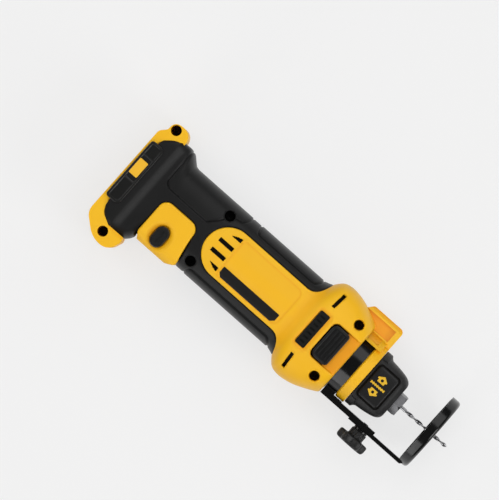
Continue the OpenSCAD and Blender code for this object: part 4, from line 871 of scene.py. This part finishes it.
def collar_body():
    """Grid of the collar: rows follow a closed profile over the outside, the front face and back through the
    bore; columns go round, closest over the two flats. Outside, the radius is
    ((|cos|/a)^14 + (|sin|/b)^14 + (1/R)^14)^(-1/14), a square pinched into a circle. Also the finishes."""
    walls = (pad_back, pad_back + pad_groove, 269.6, pad_front - pad_groove, pad_front)
    outside = np.r_[collar_back, 263.3, 263.8, lines(264.2, 294, 0.42, walls), 294.4, 294.7, collar_front]
    bore_x, bore = np.array([(collar_front, 11.6), (291.3, 11.6), (291.3, 16.6), (285.3, 16.6), (285.3, bore_r),
                             (collar_back, bore_r)]).T
    a, b, ring = ((fair(outside, stations) - rolled(outside - collar_back, 0.7)
                   - rolled(collar_front - outside, 0.9))[:, None] for stations in (collar_y, collar_z, collar_r))
    flat = np.arctan2(21.5, lines(-23, 23, 0.36, (-pad_y, pad_groove - pad_y, pad_y - pad_groove, pad_y))[::-1])
    angle = np.r_[flat, np.linspace(flat[-1], flat[0] + np.pi, 72)[1:-1]]
    angle = np.r_[angle, angle + np.pi]
    c, s, n = np.abs(np.cos(angle)), np.abs(np.sin(angle)), collar_power
    outer = ((c / a) ** n + (s / b) ** n + (1 / ring) ** n) ** (-1 / n)
    even = np.ones(len(angle))
    r = np.r_[[bore_r * even], outer, bore[:, None] * even]
    x = np.r_[collar_back, outside, bore_x][:, None] * even
    y, z = r * np.cos(angle), r * np.sin(angle)
    d = inside(x, y, pad_loop)
    down = np.where(d > pad_groove, rolled(d - pad_groove, 1.8) * 0.3, 0)
    down = down + 1.3 * ease(-0.1, 0.2, d) * (1 - ease(1.5, 1.8, d))
    down = down + ease(-0.15, 0.15, np.max([inside(x, y, loop) for loop in notch_loops], 0))
    row = np.arange(len(r))[:, None]
    out = (row > 0) & (row <= len(outside))
    z = z - np.sign(z) * down * ease(13, 16, np.abs(z)) * out
    d = (d[:-1] + d[1:] + np.roll(d[:-1] + d[1:], -1, 1)) / 4
    finish = np.where(d > 1.65, 1, np.where(d > 0.05, 2, 0)) * (out[:-1] & (np.abs(z[:-1]) > 18))
    return np.stack([x, y, z], -1), finish


grid, finish = collar_body()
# The pad groove takes the near-black painted shade.
collar = lay("finger_collar", grid, collar_black, pad_black, painted_dark_shade, wrap=True, second=finish, sharp=0.8)
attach(collar, "collar")
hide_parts("nose_collar")
dress("collar_symbols", mark_yellow, 0.06)

# Collet, nut and bit: the hardened nut draws the split collet down on the shank of a
# two-flute spiral bit ground from high-speed steel.
nut_steel = metal("nut_steel", (120, 120, 122), (102, 102, 104), (0.26, 0.4), 300, 1500, 0.006)
bit_steel = metal("bit_steel", (186, 186, 188), (146, 146, 148), (0.16, 0.3), 2600, 300, 0.004, 120)
bit_back, bit_tip, bit_r, bit_lead = 281.8, 351.8, 1.6, 19


def bit_body():
    """Grid of the bit: rows along X, columns round it. The radius is 1.6 mm less two round flutes that turn once
    in 19 mm, fade in after the plain shank and end at a split point."""
    x = np.r_[bit_back, bit_back, 282.2, 290, lines(300, 351, 0.3), bit_tip][:, None]
    angle = np.linspace(0, 2 * np.pi, 48, endpoint=False)
    turn = angle + 2 * np.pi * (x - 307) / bit_lead
    flute = ease(306, 310, x) * np.clip(np.abs(np.cos(turn)) * 1.5 - 0.5, 0, 1) ** 0.8
    r = bit_r * (1 - 0.6 * flute) * np.clip((bit_tip - x) / 2.2, 0, 1) ** 0.7
    r[0], r[1] = 0, 1.3
    return np.stack([np.broadcast_to(x, r.shape), r * np.cos(angle), r * np.sin(angle)], -1)


bit = lay("spiral_bit", bit_body(), bit_steel, wrap=True, sharp=0.7)
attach(bit, "spindle")
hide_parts("cutting_bit")
dress("collet", nut_steel, 0.15)
dress("collet_nut", nut_steel, 0.5)

# Depth guide: a bent steel strap clamped round the nose, and a dished round foot that slides
# along it, both in black gloss enamel.
black_enamel = moulded("black_enamel", 11, 8, (0.14, 0.22), 0.006, 260, 0.4, coat=0.1)
dress("guide_bracket", black_enamel, 0.4)
dress("guide_slide", black_enamel, 0.45)
dress("band_bolt", screw_steel, 0.25)

# Thumb screw: a black nylon knob of six lobes moulded on a steel stud, over a star washer
# that grips the slide.
knob_black = moulded("knob_black", 30, 24, (0.4, 0.54), 0.03, 1500, 0.45)
washer_steel = metal("washer_steel", 74, 54, (0.24, 0.36), 900, 900)
knob_x, knob_seat = 289.5, -38.07
knob_profile = [(0, 0, -8.4), (2, 0, -8.4), (2.45, 0, -8), (2.45, 0, 0), (6.6, 0, 0), (7.2, 0, 0.5), (7.2, 0, 5.6),
                (7.8, 0.2, 6.2), (9.6, 0.8, 6.4), (12.6, 2.6, 6.5), (13.6, 3, 7), (14, 3.1, 8),
                (14, 3.1, 10.6), (13.9, 3.1, 12.2), (13.5, 3, 13.4), (12.6, 2.6, 14.2), (11, 1.8, 14.55),
                (8, 0.8, 14.7), (6.4, 0.2, 14.7), (5.8, 0, 14.3), (5.4, 0, 14.1), (0, 0, 14.1)]


def knob_body():
    """Grid of the knob: rows follow its profile of (radius, dip, height) from the stud's end to the crown,
    columns go round. The radius is the profile's, less the dips between lobes, which go as
    (1/2 - cos(6 * angle) / 2)^1.3, and twelve shallow flutes up the hub."""
    radius, dip, up = np.array(knob_profile).T[..., None]
    angle = np.linspace(0, 2 * np.pi, 192, endpoint=False)
    r = radius - dip * (0.5 - 0.5 * np.cos(6 * angle)) ** 1.3
    r[4:7] = r[4:7] - 0.6 * (0.5 - 0.5 * np.cos(12 * angle)) ** 2
    return np.stack([knob_x + r * np.cos(angle), np.broadcast_to(knob_seat - up, r.shape), r * np.sin(angle)], -1)


knob = lay("lobed_knob", knob_body(), knob_black, wrap=True, sharp=0.8)
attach(knob, "thumb")
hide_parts("thumb_screw")
dress("thumb_washer", washer_steel, 0.15)

# Studio: pale floor under the tool, with softboxes round it and a broad one overhead.
# The floor shows part of its own paleness, so that the shadow on it stays light.
scene = bpy.context.scene
scene.view_settings.view_transform = "Standard"
floor_z, floor_half, floor_share, world_light = cad_box[0][2], 4, 0.78, 0.1
sheet = bpy.data.meshes.new("floor")
sheet.from_pydata([(x * floor_half, y * floor_half, floor_z) for x, y in ((-1, -1), (1, -1), (1, 1), (-1, 1))],
                  [], [(0, 1, 2, 3)])
floor = stand("floor", sheet)
paper = moulded("floor_paper", 242, 241, (0.9, 1.0), 0.0, level=0.0)
nodes = paper.node_tree.nodes
seen, pale, show, direct, any_way, part = (
    nodes.new("ShaderNode" + kind) for kind in ("LightPath", "Emission", "MixShader", "Math", "Math", "Math"))
put(pale, {"Color": srgb(242)})
direct.operation = any_way.operation = "MAXIMUM"
part.operation = "MULTIPLY"
put(part, {1: floor_share})
wire(paper.node_tree, (seen.outputs["Is Camera Ray"], direct.inputs[0]),
     (seen.outputs["Is Glossy Ray"], direct.inputs[1]), (direct.outputs[0], any_way.inputs[0]),
     (seen.outputs["Is Transmission Ray"], any_way.inputs[1]), (any_way.outputs[0], part.inputs[0]),
     (part.outputs[0], show.inputs["Fac"]), (nodes["Principled BSDF"].outputs["BSDF"], show.inputs[1]),
     (pale.outputs["Emission"], show.inputs[2]),
     (show.outputs["Shader"], nodes["Material Output"].inputs["Surface"]))
sheet.materials.append(paper)

scene.world = bpy.data.worlds.new("studio")
scene.world.use_nodes = True
put(scene.world.node_tree.nodes["Background"], {"Color": srgb(255), "Strength": world_light})


def turned(thing, place, right, back):
    """Puts a lamp or camera at a place, with its X axis along right and its face away from back."""
    axes = np.column_stack([right, np.cross(back, right), back, place])
    thing.matrix_world = Matrix([*axes.tolist(), (0, 0, 0, 1)])
    return thing


def softbox(name, place, size, power, aim=(0.15, 0, 0)):
    """Area lamp at a place, turned so that its face looks at the tool's middle."""
    lamp = bpy.data.lights.new(name, "AREA")
    lamp.shape, lamp.size, lamp.size_y, lamp.energy = "RECTANGLE", size[0], size[1], power
    away = unit(np.array(place) - np.array(aim))
    across = unit(np.cross([1.0, 0.0, 0.0] if abs(away[0]) < 0.9 else [0.0, 1.0, 0.0], away))
    return turned(stand(name, lamp), place, across, away)


softbox("front", (1.75, 0.1, 1.05), (0.9, 0.9), 11)
softbox("upper", (0.15, 1.5, 1.5), (1.5, 2.0), 12)
softbox("lower", (0.15, -1.65, 0.85), (1.7, 0.7), 9)
softbox("behind", (-1.45, 0.1, 1.05), (0.9, 0.9), 5)
softbox("overhead", (0.15, 0, 2.4), (2.4, 2.4), 31).visible_glossy = False

# Camera: far off and almost straight over the tool, turned so that the bit points down to
# the right.
turn, lean = np.radians(41.5), np.radians([0.8, 0.5])
aim, distance, view_width, sensor = np.array([0.1212, 0.0142, 0.0]), 7.0, 0.415, 36
back = unit(np.array([*np.sin(lean), 1.0]))
right = np.array([np.cos(turn), np.sin(turn), 0])
right = unit(right - back * (right @ back))
lens = bpy.data.cameras.new("camera")
lens.sensor_width, lens.lens, lens.clip_end = sensor, sensor * distance / view_width, 20
scene.camera = turned(stand("camera", lens), aim + back * distance, right, back)

bpy.context.view_layer.update()
